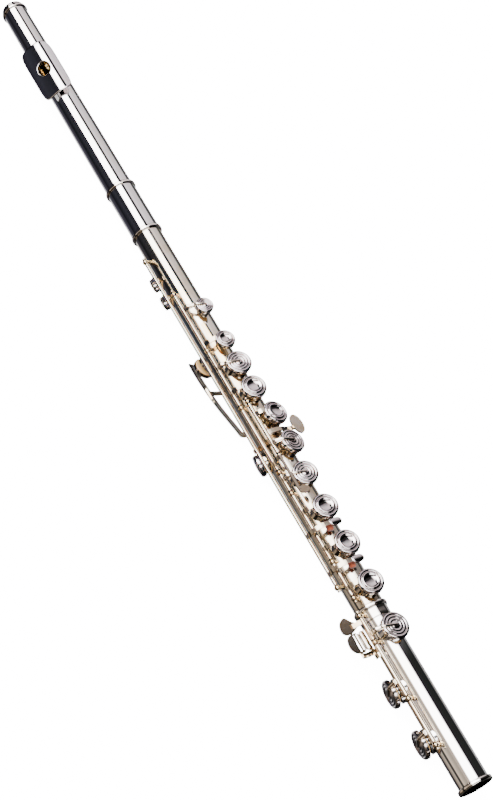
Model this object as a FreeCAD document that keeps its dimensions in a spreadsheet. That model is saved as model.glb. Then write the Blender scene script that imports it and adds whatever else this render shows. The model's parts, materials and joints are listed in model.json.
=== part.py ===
import FreeCAD, Part
import math
import os
import re
import Sketcher
from FreeCAD import Placement, Rotation, Vector

# A concert flute with a C foot, drawn as a parametric document.
#
# Frame: millimetres, origin at the centre of the foot joint's open end, on the bore's axis.
# +X runs along the bore and out of the foot's open end, so the head is at negative x.
# +Z is the side of the finger cups, and -Y is the player's side, where the long hinge rods are.
# "place" is a distance from the open end towards the head, so x = -place.
# "reach" is a distance from the bore's axis, and "angle" turns from +Z towards -Y, in degrees.
# Tone holes follow the equal-tempered scale: place(n) is the hole n semitones above the end.
# Keys are drawn closed, in the frame of their own tone hole, and then swung to how they stand at rest.

SIZES = [
    # tubes
    ("scale_length", 662.3, "acoustic length that sets every tone hole"),
    ("tube_bore", 19.0, "bore of body and foot"),
    ("tube_wall", 0.42, "wall of the drawn tubes"),
    ("slip_fit", 0.03, "radial gap of a tenon in its socket"),
    ("sleeve_wall", 0.45, "wall of the barrel and of the foot socket"),
    ("ring_stand", 1.0, "how far a ring stands out of its tube or sleeve"),
    ("ring_width", 2.8, "width of a ring along the bore"),
    ("barrel_length", 45.0, "length of the barrel"),
    ("barrel_gap", 37.0, "from the upper trill hole to the barrel"),
    ("barrel_lap", 6.5, "length of body tube inside the barrel"),
    ("foot_tenon", 7.0, "length of body tube inside the foot socket"),
    ("foot_lap", 2.4, "length of foot tube inside its socket"),
    ("tenon_gap", 0.4, "gap between a tenon's end and the next tube"),
    # head joint
    ("crown_bore", 17.1, "bore of the head joint at the crown"),
    ("embouchure_shift", 62.9, "from the scale's far end to the embouchure"),
    ("embouchure_turn", 48.8, "how far the head is turned towards the player"),
    ("embouchure_length", 12.2, "embouchure hole along the bore"),
    ("embouchure_width", 10.4, "embouchure hole across the bore"),
    ("riser_height", 5.0, "from the head tube's top to the lip plate's top"),
    ("riser_wall", 1.1, "wall of the riser"),
    ("plate_length", 50.0, "lip plate along the bore"),
    ("plate_width", 24.0, "lip plate across the bore"),
    ("plate_thickness", 0.9, "lip plate"),
    ("head_past_hole", 67.6, "head tube beyond the embouchure's centre"),
    ("cork_gap", 17.3, "from the embouchure's centre to the stopper plate"),
    ("cork_length", 16.0, "stopper cork"),
    ("crown_length", 7.0, "crown beyond the head tube"),
    ("stopper_travel", 1.2, "room for the stopper each way"),
    ("stopper_rod", 2.0, "radius of the stopper's screw"),
    # tone holes and cups
    ("chimney_height", 2.05, "tone hole rim above the tube's top line"),
    ("chimney_wall", 0.5, "tone hole wall"),
    ("main_hole", 14.4, "finger tone holes"),
    ("eflat_hole", 15.4, "E flat tone hole"),
    ("foot_hole", 15.4, "two lowest tone holes"),
    ("thumb_hole", 12.2, "thumb tone hole"),
    ("gsharp_hole", 12.2, "G sharp tone hole on the player's side"),
    ("vent_hole", 7.4, "small C sharp tone hole"),
    ("trill_hole", 7.2, "two trill tone holes"),
    ("cup_margin", 1.5, "cup radius beyond its tone hole's radius"),
    ("vent_margin", 2.4, "cup radius beyond the small hole's radius"),
    ("trill_margin", 1.5, "cup radius beyond a trill hole's radius"),
    ("index_plate", 6.9, "radius of the index finger's plate"),
    ("cup_wall", 0.5, "skirt of a cup"),
    ("cup_height", 2.6, "height of a cup"),
    ("pad_lip", 0.6, "pad below its cup"),
    ("pad_thickness", 1.95, "pad"),
    ("pad_clearance", 0.12, "pad in its cup, and pad over its seat"),
    ("trill_cup_drop", 0.7, "how much lower the small cups are built"),
    # hinges
    ("rod_radius", 0.8, "steel rods"),
    ("running_gap", 0.05, "hinge tube on its rod, and rod in its post"),
    ("hinge_radius", 1.55, "hinge tubes"),
    ("trill_hinge", 1.3, "hinge tubes of the trill keys"),
    ("end_gap", 0.12, "hinge tube to its neighbour"),
    ("rod_stand", 5.1, "main rod above the tube"),
    ("rod_angle", 58.0, "main rod"),
    ("offset_stand", 4.6, "rod of the offset G keys above the tube"),
    ("offset_rod_angle", 35.5, "rod of the offset G keys"),
    ("offset_angle", -17.0, "tone holes of the offset G keys"),
    ("trill_stand", 6.6, "trill rod above the tube"),
    ("trill_rod_angle", 78.0, "trill rod"),
    ("trill_angle", 128.0, "trill tone holes"),
    ("gsharp_angle", 122.0, "G sharp tone hole"),
    ("thumb_stand", 4.6, "thumb rod above the tube"),
    ("thumb_rod_angle", 207.0, "thumb rod"),
    ("thumb_angle", 155.0, "thumb tone hole"),
    ("foot_stand", 5.1, "foot rod above the tube"),
    ("foot_rod_angle", 69.0, "foot rod, with the foot turned as it stands"),
    ("eflat_angle", 3.5, "E flat tone hole"),
    ("foot_hole_angle", 119.0, "two lowest tone holes"),
    ("post_ball", 2.0, "radius of a post's ball"),
    ("post_stem", 1.15, "radius of a post's stem"),
    ("post_base", 1.85, "radius of a post's base"),
    ("post_base_height", 0.7, "height of a post's base"),
    ("rib_height", 0.55, "ribs on the tube"),
    ("rib_arc", 15.0, "arc of a rib, in degrees"),
    ("arm_width", 3.0, "width of a key's arm"),
    ("arm_thickness", 1.2, "thickness of a key's arm"),
    ("arm_shift", 3.0, "arm from its cup's centre towards the head"),
    ("screw_head", 0.9, "length of a rod's slotted head"),
    ("spring_radius", 0.3, "needle springs"),
    # touches
    ("touch_thickness", 1.2, "finger and thumb touches"),
    ("roller_radius", 1.45, "foot rollers"),
    ("roller_length", 11.0, "foot rollers"),
    ("roller_pin", 0.6, "pin of a roller"),
    # swings
    ("open_swing", 10.0, "opening of the finger cups, in degrees"),
    ("thumb_swing", 9.0, "opening of the thumb cup, in degrees"),
    ("foot_swing", 10.0, "opening of the two lowest cups, in degrees"),
]

# Tone holes, in semitones above the open end.
STEPS = {
    "foot_c": 1, "foot_csharp": 2, "eflat": 3, "d": 4, "e": 5, "f": 6, "fsharp": 7,
    "g_lower": 8, "gsharp": 8, "g_upper": 9, "a": 10, "bflat": 11, "thumb": 12, "index": 12,
    "vent": 13.64, "d_trill": 15.1, "dsharp_trill": 16.14,
}
# Posts and other stations between the holes, on the same scale.
MAIN_POSTS = [3.87, 4.78, 6.70, 7.35, 9.58, 11.94, 14.76]
TRILL_POSTS = [4.25, 16.98]
OFFSET_POSTS = [7.75, 9.65]
THUMB_POSTS = [8.87, 10.43, 12.98]
FOOT_POSTS = [0.83, 1.722, 2.907, 3.51]
FOOT_TOP = 3.662

doc = FreeCAD.newDocument("concert_flute")
sheet = doc.addObject("Spreadsheet::Sheet", "sizes")
for row, (alias, value, note) in enumerate(SIZES, start=1):
    sheet.set(f"A{row}", alias)
    sheet.set(f"B{row}", str(value))
    sheet.setAlias(f"B{row}", alias)
    sheet.set(f"C{row}", note)
doc.recompute()
ALIASES = re.compile(r"\b(" + "|".join(alias for alias, _, _ in SIZES) + r")\b")

RADIUS = "(tube_bore / 2 + tube_wall)"
SLEEVE = f"({RADIUS} + slip_fit + sleeve_wall)"
SEAT = f"({RADIUS} + chimney_height)"
RIBBON_STEPS = 14
nodes = []


# ---------------------------------------------------------------- helpers

def size(expression):
    """The value of an expression on the sheet."""
    return float(sheet.evalExpression(str(expression)))


def bind(part, name, expression):
    """Tie a property to the sheet, and set it."""
    part.setExpression(name, ALIASES.sub(r"sizes.\1", str(expression)))


def place(step):
    """Distance from the open end of a station `step` semitones up the scale, as an expression."""
    steps = STEPS.get(step, step)
    return f"(scale_length * (1 - 2 ^ (-{steps} / 12)))"


def reach_of(stand):
    """Reach of a rod that stands off the tube."""
    return f"({RADIUS} + {stand})"


def polar(x, reach, angle):
    """A point from its x, its distance from the bore's axis and its angle."""
    turn = math.radians(angle)
    return Vector(x, -reach * math.sin(turn), reach * math.cos(turn))


def make(kind, name, **properties):
    """A Part primitive with its properties bound to the sheet."""
    part = doc.addObject(kind, name)
    for key, expression in properties.items():
        bind(part, key, expression)
    return part


def bar(name, radius, length, start, across=(0, 0), angle=None):
    """A cylinder along +X from `start`, at a (y, z) point or, with an angle, at a reach."""
    part = make("Part::Cylinder", name, Radius=radius, Height=length)
    point = Vector(start, *across) if angle is None else polar(start, across, angle)
    part.Placement = Placement(point, Rotation(Vector(0, 1, 0), 90))
    return part


def radial(name, radius, height, x, angle, low="0"):
    """A cylinder that stands on the bore's axis and points outwards at an angle."""
    part = make("Part::Cylinder", name, Radius=radius, Height=height)
    part.Placement = Placement(polar(x, size(low), angle), Rotation(Vector(1, 0, 0), angle))
    return part


def fuse(name, parts):
    """All parts in one shape."""
    if len(parts) == 1:
        return parts[0]
    joined = doc.addObject("Part::MultiFuse", name)
    joined.Shapes = parts
    return joined


def cut(name, base, tools):
    """The base without the tools."""
    rest = doc.addObject("Part::Cut", name)
    rest.Base = base
    rest.Tool = fuse(name + "_cutter", tools)
    return rest


def node(part, label, placement=None):
    """Name a finished sub-part, and place it."""
    part.Label = label
    if placement is not None:
        part.Placement = placement.multiply(part.Placement)
    nodes.append(part)
    return part


def turned(name, profile, axis="H_Axis"):
    """A body turned about the X axis (H_Axis) or the Z axis (V_Axis).

    The profile is a list of (sketch x, sketch y) expressions on the XZ plane.
    """
    body = doc.addObject("PartDesign::Body", name)
    sketch = body.newObject("Sketcher::SketchObject", name + "_profile")
    plane = next(item for item in body.Origin.OriginFeatures if item.Role == "XZ_Plane")
    sketch.AttachmentSupport = [(plane, "")]
    sketch.MapMode = "FlatFace"
    points = [Vector(size(a), size(b), 0) for a, b in profile]
    count = len(points)
    for index in range(count):
        sketch.addGeometry(Part.LineSegment(points[index], points[(index + 1) % count]), False)
    for index in range(count):
        sketch.addConstraint(Sketcher.Constraint("Coincident", index, 2, (index + 1) % count, 1))
    for index, pair in enumerate(profile):
        for kind, expression, on_axis in (("DistanceX", pair[0], -2), ("DistanceY", pair[1], -1)):
            if str(expression) == "0":
                sketch.addConstraint(Sketcher.Constraint("PointOnObject", index, 1, on_axis))
                continue
            item = sketch.addConstraint(Sketcher.Constraint(kind, -1, 1, index, 1, size(expression)))
            label = f"{kind[-1].lower()}{index}"
            sketch.renameConstraint(item, label)
            bind(sketch, f"Constraints.{label}", expression)
    turn = body.newObject("PartDesign::Revolution", name + "_turn")
    turn.Profile = sketch
    turn.ReferenceAxis = (sketch, [axis])
    turn.Angle = 360
    return body


def ribbon(path, thickness, to_space, across):
    """A bar that follows a smooth line through `path`, then is drawn out along `across`."""
    line = Part.BSplineCurve()
    line.interpolate([Vector(a, b, 0) for a, b in path])
    left, right = [], []
    for step in range(RIBBON_STEPS + 1):
        where = line.FirstParameter + (line.LastParameter - line.FirstParameter) * step / RIBBON_STEPS
        point, along = line.value(where), line.tangent(where)[0]
        side = Vector(-along.y, along.x, 0).normalize() * (thickness / 2)
        left.append(to_space(point + side))
        right.append(to_space(point - side))
    edges = []
    for points in (left, right):
        edge = Part.BSplineCurve()
        edge.interpolate(points)
        edges.append(edge.toShape())
    edges.append(Part.makeLine(left[0], right[0]))
    edges.append(Part.makeLine(left[-1], right[-1]))
    wire = Part.Wire(Part.__sortEdges__(edges))
    return Part.Face(wire).extrude(across)


def shape(name, solid):
    """A Part::Feature that holds a shape worked out here."""
    part = doc.addObject("Part::Feature", name)
    part.Shape = solid
    return part


def outline(points):
    """A face inside straight edges."""
    return Part.Face(Part.makePolygon(list(points) + [points[0]]))


def leaf(points, thickness, centre, facing, shift=0.0):
    """A flat touch with a smooth round outline of (x, u) points.

    `centre` is its (y, z) place, `facing` the angle its face looks to, `shift` its x.
    """
    edge = Part.BSplineCurve()
    edge.interpolate([Vector(a, b, -thickness / 2) for a, b in points], PeriodicFlag=True)
    plate = Part.Face(Part.Wire(edge.toShape())).extrude(Vector(0, 0, thickness))
    plate.Placement = Placement(Vector(shift, *centre), Rotation(Vector(1, 0, 0), facing))
    return plate


def oval(half_length, half_width, count=12):
    """Points round an oval."""
    turns = [2 * math.pi * index / count for index in range(count)]
    return [(half_length * math.cos(turn), half_width * math.sin(turn)) for turn in turns]


def block(low, high):
    """A box between two corners."""
    return Part.makeBox(high[0] - low[0], high[1] - low[1], high[2] - low[2], Vector(*low))


class HoleFrame:
    """The frame of one tone hole: its own x = 0 at the hole, z out along the hole's axis."""

    def __init__(self, step, angle, stand, rod_angle):
        self.place = size(place(step))
        self.angle = size(angle)
        self.rod_stand, self.rod_angle = stand, size(rod_angle)
        self.rod = self.local(size(reach_of(stand)), self.rod_angle)
        self.side = -1 if self.rod[0] < 0 else 1

    def local(self, reach, angle):
        """(y, z) here of a point at a reach and an angle."""
        point = polar(0, reach, angle - self.angle)
        return (point.y, point.z)

    def here(self, y, z):
        """(y, z) here of a point given on the flute's own axes."""
        return self.local(math.hypot(y, z), math.degrees(math.atan2(-y, z)))

    def x(self, step, shift=0.0):
        """x here of a station on the scale."""
        return self.place - size(place(step)) + shift

    def rest(self, swing=0.0):
        """Where this frame stands, after its key swings open about its rod."""
        centre = Vector(0, *self.rod)
        opened = Placement(Vector(0, 0, 0), Rotation(Vector(1, 0, 0), -self.side * swing), centre)
        stand = Placement(Vector(-self.place, 0, 0), Rotation(Vector(1, 0, 0), self.angle))
        return stand.multiply(opened)


# Heights in a hole's frame.
def pad_low(seat):
    """Underside of a closed pad."""
    return f"({seat} + pad_clearance)"


def cup_low(seat):
    """Lower edge of a closed cup."""
    return f"({pad_low(seat)} + pad_lip)"


def cup_roof(seat):
    """Inside top of a cup."""
    return f"({pad_low(seat)} + pad_thickness + pad_clearance / 2)"


def cup_top(seat):
    """Top of a closed cup."""
    return f"({cup_low(seat)} + cup_height)"


def cup(name, radius, seat, x=0.0, finger=True):
    """A key cup: a skirt round the pad, and stepped rings on top."""
    low, roof, top = cup_low(seat), cup_roof(seat), cup_top(seat)
    profile = [
        ("0", roof), (f"{radius} - cup_wall", roof), (f"{radius} - cup_wall", low), (radius, low),
        (radius, f"{top} - 0.55"), (f"{radius} - 0.5", f"{top} - 0.08"),
    ]
    if finger:
        profile += [
            (f"{radius} - 1.55", top), (f"{radius} - 1.8", f"{top} - 0.35"),
            (f"{radius} - 2.45", f"{top} - 0.35"), (f"{radius} - 2.75", f"{top} - 0.05"),
            (f"{radius} * 0.35", f"{top} - 0.2"), ("0", f"{top} - 0.26"),
        ]
    else:
        profile += [
            (f"{radius} - 1.4", top), (f"{radius} - 1.5", f"{top} - 0.35"),
            (f"{radius} * 0.62", f"{top} - 0.35"), (f"{radius} * 0.6", f"{top} - 0.1"),
            (f"{radius} * 0.44", f"{top} - 0.1"), (f"{radius} * 0.42", f"{top} - 0.4"),
            (f"{radius} * 0.24", f"{top} - 0.4"), (f"{radius} * 0.2", f"{top} - 0.05"),
            ("0", f"{top} - 0.05"),
        ]
    body = turned(name, profile, "V_Axis")
    body.Placement = Placement(Vector(x, 0, 0), Rotation())
    return body


def pad(name, radius, seat, x=0.0):
    """The pad in a cup."""
    disc = make("Part::Cylinder", name, Radius=f"{radius} - cup_wall - pad_clearance", Height="pad_thickness")
    disc.Placement = Placement(Vector(x, 0, size(pad_low(seat))), Rotation())
    return disc


def plain_arm(name, frame, radius, seat, x):
    """An arm from the hinge tube into the side of a cup."""
    side, edge, thick = frame.side, size(radius), size("arm_thickness")
    low, roof, wide = size(cup_low(seat)), size(cup_roof(seat)), size("arm_width")
    path = [
        frame.rod, ((frame.rod[0] + side * (edge + 3.6)) / 2, low - 1.5),
        (side * (edge + 1.3), low + 1.0), (side * (edge - 1.5), roof + thick / 2 + 0.03),
    ]
    low_x = x - wide / 2
    return shape(name, ribbon(path, thick, lambda p: Vector(low_x, p.x, p.y), Vector(wide, 0, 0)))


def pointed_arm(name, frame, radius, seat, shift):
    """An arm that narrows to a point over the middle of its cup."""
    side, edge, thick = frame.side, size(radius), size("arm_thickness")
    low, top, wide = size(cup_low(seat)), size(cup_top(seat)), size("arm_width")
    path = [
        frame.rod, ((frame.rod[0] + side * (edge + 3.6)) / 2, low - 1.5), (side * (edge + 0.9), low + 1.6),
        (side * (edge - 1.0), top + 0.25), (side * edge * 0.5, top + 0.35), (side * 0.2, top + 0.1),
    ]
    span = 2 * (shift + wide)
    blade = ribbon(path, thick, lambda p: Vector(-shift - wide, p.x, p.y), Vector(span, 0, 0))
    root = frame.rod[0] + side * 2
    wedge = outline([
        Vector(-shift - wide / 2, root, -5), Vector(-shift + wide / 2, root, -5),
        Vector(0.5, -side * 0.6, -5), Vector(-0.5, -side * 0.6, -5),
    ]).extrude(Vector(0, 0, 60))
    return shape(name, blade.common(wedge))


def hinge(name, frame, left, right, radius="hinge_radius", left_post=True, right_post=True):
    """A hinge tube between two stations on its rod."""
    trims = [" + post_ball" if post else "" for post in (left_post, right_post)]
    length = f"{place(left)} - {place(right)} - 2 * end_gap{trims[0]}{trims[1]}".replace("+ post", "- post")
    start = frame.x(left, size("end_gap" + trims[0]))
    return bar(name, radius, length, start, frame.rod)


def finish_key(label, frame, parts, swing=0.0):
    """Join a key's pieces, bore its hinge tube, and swing it to rest."""
    whole = fuse(label + "_blank", parts)
    box = whole_box(parts)
    bore = bar(label + "_bore", "rod_radius + running_gap", box[1] - box[0] + 2, box[0] - 1, frame.rod)
    return node(cut(label, whole, [bore]), label, frame.rest(swing))


def whole_box(parts):
    """Lowest and highest x of several parts."""
    doc.recompute()
    return (min(p.Shape.BoundBox.XMin for p in parts), max(p.Shape.BoundBox.XMax for p in parts))


# ---------------------------------------------------------------- tubes

def chimney(name, step, hole, angle, seat=SEAT):
    """The outside of a drawn tone hole."""
    x = -size(place(step))
    return radial(name, f"{hole} / 2 + chimney_wall", seat, x, size(angle))


def tone_hole(name, step, hole, angle):
    """What a tone hole leaves out of the tube."""
    return radial(name, f"{hole} / 2", f"{SEAT} + 5", -size(place(step)), size(angle))


SMALL_SEAT = f"({SEAT} - trill_cup_drop)"
BODY_HOLES = [
    ("d", "main_hole", "0", SEAT), ("e", "main_hole", "0", SEAT), ("f", "main_hole", "0", SEAT),
    ("fsharp", "main_hole", "0", SEAT), ("g_lower", "main_hole", "offset_angle", SEAT),
    ("g_upper", "main_hole", "offset_angle", SEAT), ("a", "main_hole", "0", SEAT),
    ("bflat", "main_hole", "0", SEAT), ("thumb", "thumb_hole", "thumb_angle", SEAT),
    ("gsharp", "gsharp_hole", "gsharp_angle", SEAT), ("vent", "vent_hole", "0", SEAT),
    ("d_trill", "trill_hole", "trill_angle", SMALL_SEAT),
    ("dsharp_trill", "trill_hole", "trill_angle", SMALL_SEAT),
]
FOOT_HOLES = [
    ("eflat", "eflat_hole", "eflat_angle", SEAT), ("foot_csharp", "foot_hole", "foot_hole_angle", SEAT),
    ("foot_c", "foot_hole", "foot_hole_angle", SEAT),
]
foot_top = size(place(FOOT_TOP))
body_end = foot_top - size("foot_tenon")
barrel_low = size(place("dsharp_trill")) + size("barrel_gap")
barrel_top = barrel_low + size("barrel_length")
body_top = barrel_low + size("barrel_lap")
head_end = body_top + size("tenon_gap")
embouchure = size("scale_length - embouchure_shift")
head_top = embouchure + size("head_past_hole")
RING = f"({SLEEVE} + ring_stand)"


def tube_with_holes(label, start, end, holes):
    """A length of tube with its drawn tone holes."""
    length = start - end
    outside = bar(label + "_outside", RADIUS, length, -start)
    chimneys = [chimney(f"{label}_{name}_chimney", name, hole, angle, seat) for name, hole, angle, seat in holes]
    bore = bar(label + "_bore", "tube_bore / 2", length + 2, -start - 1)
    openings = [tone_hole(f"{label}_{name}_hole", name, hole, angle) for name, hole, angle, _ in holes]
    whole = fuse(label + "_whole", [outside] + chimneys)
    node(cut(label, whole, [bore] + openings), label)
    return outside, chimneys


def ring_profile(low, high, inner):
    """A rounded ring between two places, with x growing towards the foot."""
    bevel = 0.45
    return [
        (f"-{low}", inner), (f"-{low}", f"{RING} - {bevel}"), (f"-{low} - {bevel}", RING),
        (f"-{high} + {bevel}", RING), (f"-{high}", f"{RING} - {bevel}"), (f"-{high}", inner),
    ]


def build_barrel():
    """The sleeve that takes the head joint, and its two rings."""
    inner, outer = f"{RADIUS} + slip_fit", SLEEVE
    sleeve = [
        (f"{-barrel_top}", inner), (f"{-barrel_top}", outer), (f"{-barrel_low}", outer),
        (f"{-barrel_low}", RADIUS), (f"{-body_top}", RADIUS), (f"{-body_top}", inner),
    ]
    node(turned("barrel", sleeve), "barrel")
    width = size("ring_width")
    upper = turned("barrel_ring_upper", ring_profile(barrel_top - width, barrel_top, SLEEVE))
    lower = turned("barrel_ring_lower", ring_profile(barrel_low, barrel_low + width, SLEEVE))
    node(fuse("barrel_rings", [upper, lower]), "barrel_rings")


def build_foot_socket():
    """The socket that takes the body's tenon, with its ring."""
    inner, low, lap = f"{RADIUS} + slip_fit", body_end - size("foot_lap + tenon_gap"), size("tenon_gap")
    width = size("ring_width")
    profile = [
        (f"{-foot_top}", inner), (f"{-foot_top}", f"{RING} - 0.45"), (f"{-foot_top + 0.45}", RING),
        (f"{-foot_top + width - 0.45}", RING), (f"{-foot_top + width}", f"{RING} - 0.45"),
        (f"{-foot_top + width}", SLEEVE), (f"{-low}", SLEEVE), (f"{-low}", RADIUS),
        (f"{-body_end + lap}", RADIUS), (f"{-body_end + lap}", inner),
    ]
    node(turned("foot_socket", profile), "foot_socket")
    node(turned("foot_end_ring", ring_profile(0, width, RADIUS)), "foot_end_ring")


# ---------------------------------------------------------------- head joint

def head_radius(where):
    """Outer radius of the head tube: its bore narrows towards the crown in a slow curve."""
    full, small = size(RADIUS), size("crown_bore / 2 + tube_wall")
    taper_start = barrel_top + 4
    share = max(0.0, min(1.0, (where - taper_start) / (head_top - taper_start)))
    return full - (full - small) * share ** 1.4


def embouchure_frame():
    """Where the embouchure hole's own frame stands."""
    return Placement(Vector(-embouchure, 0, 0), Rotation(Vector(1, 0, 0), size("embouchure_turn")))


def oval_prism(half_length, half_width, low, high):
    """An upright prism on an oval."""
    edge = Part.BSplineCurve()
    edge.interpolate([Vector(a, b, low) for a, b in oval(half_length, half_width)], PeriodicFlag=True)
    return Part.Face(Part.Wire(edge.toShape())).extrude(Vector(0, 0, high - low))


def build_head():
    """Head tube, riser and lip plate, in the embouchure's frame."""
    wall = size("tube_wall")
    stations = [head_end, barrel_top + 4] + [barrel_top + 4 + (head_top - barrel_top - 4) * k / 6 for k in range(1, 7)]
    outside = [Vector(embouchure - where, 0, head_radius(where)) for where in stations]
    inside = [Vector(p.x, 0, p.z - wall) for p in reversed(outside)]
    tube = outline(outside + inside).revolve(Vector(0, 0, 0), Vector(1, 0, 0), 360)
    core = outline(outside + [Vector(outside[-1].x, 0, 0), Vector(outside[0].x, 0, 0)])
    core = core.revolve(Vector(0, 0, 0), Vector(1, 0, 0), 360)
    half_length, half_width = size("embouchure_length / 2"), size("embouchure_width / 2")
    hole = oval_prism(half_length, half_width, 2, 30)
    top = head_radius(embouchure) + size("riser_height")
    thick, half = size("plate_thickness"), size("plate_width / 2")
    sweep = size("plate_length / 2")
    path = [
        (half, top - 4.9), (half * 0.62, top - 1.9), (half * 0.2, top - 0.55 - thick / 2),
        (-half * 0.25, top - 0.5 - thick / 2), (-half * 0.62, top - 1.3), (-half * 0.95, top - 3.3),
    ]
    plate = ribbon(path, thick, lambda p: Vector(-sweep, p.x, p.y), Vector(2 * sweep, 0, 0))
    corner = sweep - 9
    plan = [(-sweep, 0), (-sweep + 2.2, 7.2), (-corner, 11.2), (0, half + 1.5), (corner, 11.2), (sweep - 2.2, 7.2)]
    plan += [(sweep, 0)] + [(a, -b) for a, b in reversed(plan[1:])]
    edge = Part.BSplineCurve()
    edge.interpolate([Vector(a, b, 0) for a, b in plan], PeriodicFlag=True)
    plan_prism = Part.Face(Part.Wire(edge.toShape())).extrude(Vector(0, 0, 40))
    lip = plate.common(plan_prism).cut(core).cut(hole)
    wall_out = size("riser_wall")
    riser = oval_prism(half_length + wall_out, half_width + wall_out, 2, top - thick - 0.55)
    riser = riser.cut(core).cut(hole).cut(plate)
    frame = embouchure_frame()
    node(shape("head_tube", tube.cut(hole)), "head_tube", frame)
    node(shape("lip_plate", lip), "lip_plate", frame)
    node(shape("riser", riser), "riser", frame)


def build_crown_and_stopper():
    """The crown, and the cork stopper that its screw pulls along the head tube."""
    inside = head_radius(head_top) - size("tube_wall")
    edge, end, travel = head_radius(head_top), head_top + size("crown_length"), size("stopper_travel")
    hole = "stopper_rod + 0.15"
    profile = [
        (f"{-head_top + 8}", hole), (f"{-head_top + 8}", f"{inside} - 0.06"), (f"{-head_top - 0.05}", f"{inside} - 0.06"),
        (f"{-head_top - 0.05}", f"{edge} + 0.55"), (f"{-head_top - 0.5}", f"{edge} + 0.95"),
        (f"{-head_top - 2.2}", f"{edge} + 0.95"), (f"{-head_top - 2.7}", f"{edge} + 0.5"),
        (f"{-head_top - 3.1}", f"{edge} - 0.1"), (f"{-end + 1.6}", f"{edge} - 0.2"),
        (f"{-end + 0.5}", f"{edge} - 1.3"), (f"{-end}", f"{edge} - 3.2"), (f"{-end}", "0"),
        (f"{-end + 1.4}", "0"), (f"{-end + 1.4}", hole),
    ]
    node(turned("crown", profile), "crown")
    plate = embouchure + size("cork_gap")
    cork_low = plate + 1.4
    cork_high = cork_low + size("cork_length")
    bore = head_radius(plate + size("cork_length")) - size("tube_wall") - 0.12
    screw = [
        (f"{-plate}", "0"), (f"{-plate}", f"{bore} - 0.25"), (f"{-cork_low}", f"{bore} - 0.25"),
        (f"{-cork_low}", "stopper_rod"), (f"{-end + 1.4 + travel + 0.3}", "stopper_rod"),
        (f"{-end + 1.4 + travel + 0.3}", "0"),
    ]
    node(turned("stopper_screw", screw), "stopper_screw")
    cork = [
        (f"{-cork_low}", "stopper_rod"), (f"{-cork_low}", f"{bore}"), (f"{-cork_high}", f"{bore}"),
        (f"{-cork_high}", "stopper_rod"),
    ]
    node(turned("stopper_cork", cork), "stopper_cork")
    nut = [
        (f"{-cork_high}", "stopper_rod"), (f"{-cork_high}", f"{bore} - 1.0"), (f"{-cork_high - 1.6}", f"{bore} - 1.0"),
        (f"{-cork_high - 1.6}", "stopper_rod + 1.6"), (f"{-cork_high - 3.4}", "stopper_rod + 1.6"),
        (f"{-cork_high - 3.4}", "stopper_rod"),
    ]
    node(turned("stopper_nut", nut), "stopper_nut")


# ---------------------------------------------------------------- ribs, posts, rods, springs

def rib(name, start, end, angle, chimneys):
    """A strip along the tube, cut back round the tone holes."""
    parts = []
    for kind, reach in (("outer", f"{RADIUS} + rib_height"), ("inner", RADIUS)):
        part = make("Part::Cylinder", f"{name}_{kind}", Radius=reach, Height=start - end)
        part.Angle = size("rib_arc")
        turn = Rotation(Vector(1, 0, 0), angle - size("rib_arc") / 2)
        part.Placement = Placement(Vector(-start, 0, 0), turn.multiply(Rotation(Vector(0, 1, 0), 90)))
        parts.append(part)
    parts[0].Placement = parts[1].Placement
    return cut(name, parts[0], [parts[1]] + chimneys)


def post(name, x, stand, angle):
    """A ball-headed post: a base on the tube, a stem and a ball round the rod."""
    ball = make("Part::Sphere", name + "_ball", Radius="post_ball")
    ball.Placement = Placement(polar(x, size(reach_of(stand)), angle), Rotation())
    low = f"({RADIUS} - 0.6)"
    stem = radial(name + "_stem", "post_stem", f"{stand} + 0.6", x, angle, low)
    base = radial(name + "_base", "post_base", "0.6 + rib_height + post_base_height", x, angle, low)
    return fuse(name, [ball, stem, base])


def rod(label, left, right, frame, ends=(True, True)):
    """A steel rod from post to post in a hole's frame, with slotted heads at its free ends."""
    reach = [size("post_ball") + size("end_gap") if end else -0.05 for end in ends]
    start, stop = frame.x(left, -reach[0]), frame.x(right, reach[1])
    parts = [bar(label + "_shank", "rod_radius", stop - start, start, frame.rod)]
    head = size("screw_head")
    slots = []
    for end, x in zip(ends, (start - head, stop)):
        if not end:
            continue
        parts.append(bar(f"{label}_head_{len(parts)}", "rod_radius + 0.35", "screw_head", x, frame.rod))
        outer = x - 0.1 if x < start else x + head - 0.4
        low = Vector(outer, frame.rod[0] - 2, frame.rod[1] - 0.17)
        slots.append(make("Part::Box", f"{label}_slot_{len(parts)}", Length="0.5", Width="4", Height="0.34"))
        slots[-1].Placement = Placement(low, Rotation())
    return node(cut(label, fuse(label + "_whole", parts), slots), label, frame.rest())


def spring(name, x, length, stand, angle):
    """A needle spring beside a rod, on the tube's side of it."""
    return bar(name, "spring_radius", length, x, size(f"{RADIUS} + {stand} - hinge_radius - 1.1"), size(angle))


MAIN = HoleFrame("d", "0", "rod_stand", "rod_angle")
OFFSET = HoleFrame("g_upper", "offset_angle", "offset_stand", "offset_rod_angle")
TRILL = HoleFrame("d_trill", "trill_angle", "trill_stand", "trill_rod_angle")
THUMB = HoleFrame("thumb", "thumb_angle", "thumb_stand", "thumb_rod_angle")
GSHARP = HoleFrame("gsharp", "gsharp_angle", "offset_stand", "offset_rod_angle")
EFLAT = HoleFrame("eflat", "eflat_angle", "foot_stand", "foot_rod_angle")
FOOT_CSHARP = HoleFrame("foot_csharp", "foot_hole_angle", "foot_stand", "foot_rod_angle")
FOOT_C = HoleFrame("foot_c", "foot_hole_angle", "foot_stand", "foot_rod_angle")


def post_row(name, stations, stand, angle):
    """Posts along one rod."""
    return [post(f"{name}_post_{index}", -size(place(step)), stand, size(angle)) for index, step in enumerate(stations)]


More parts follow.
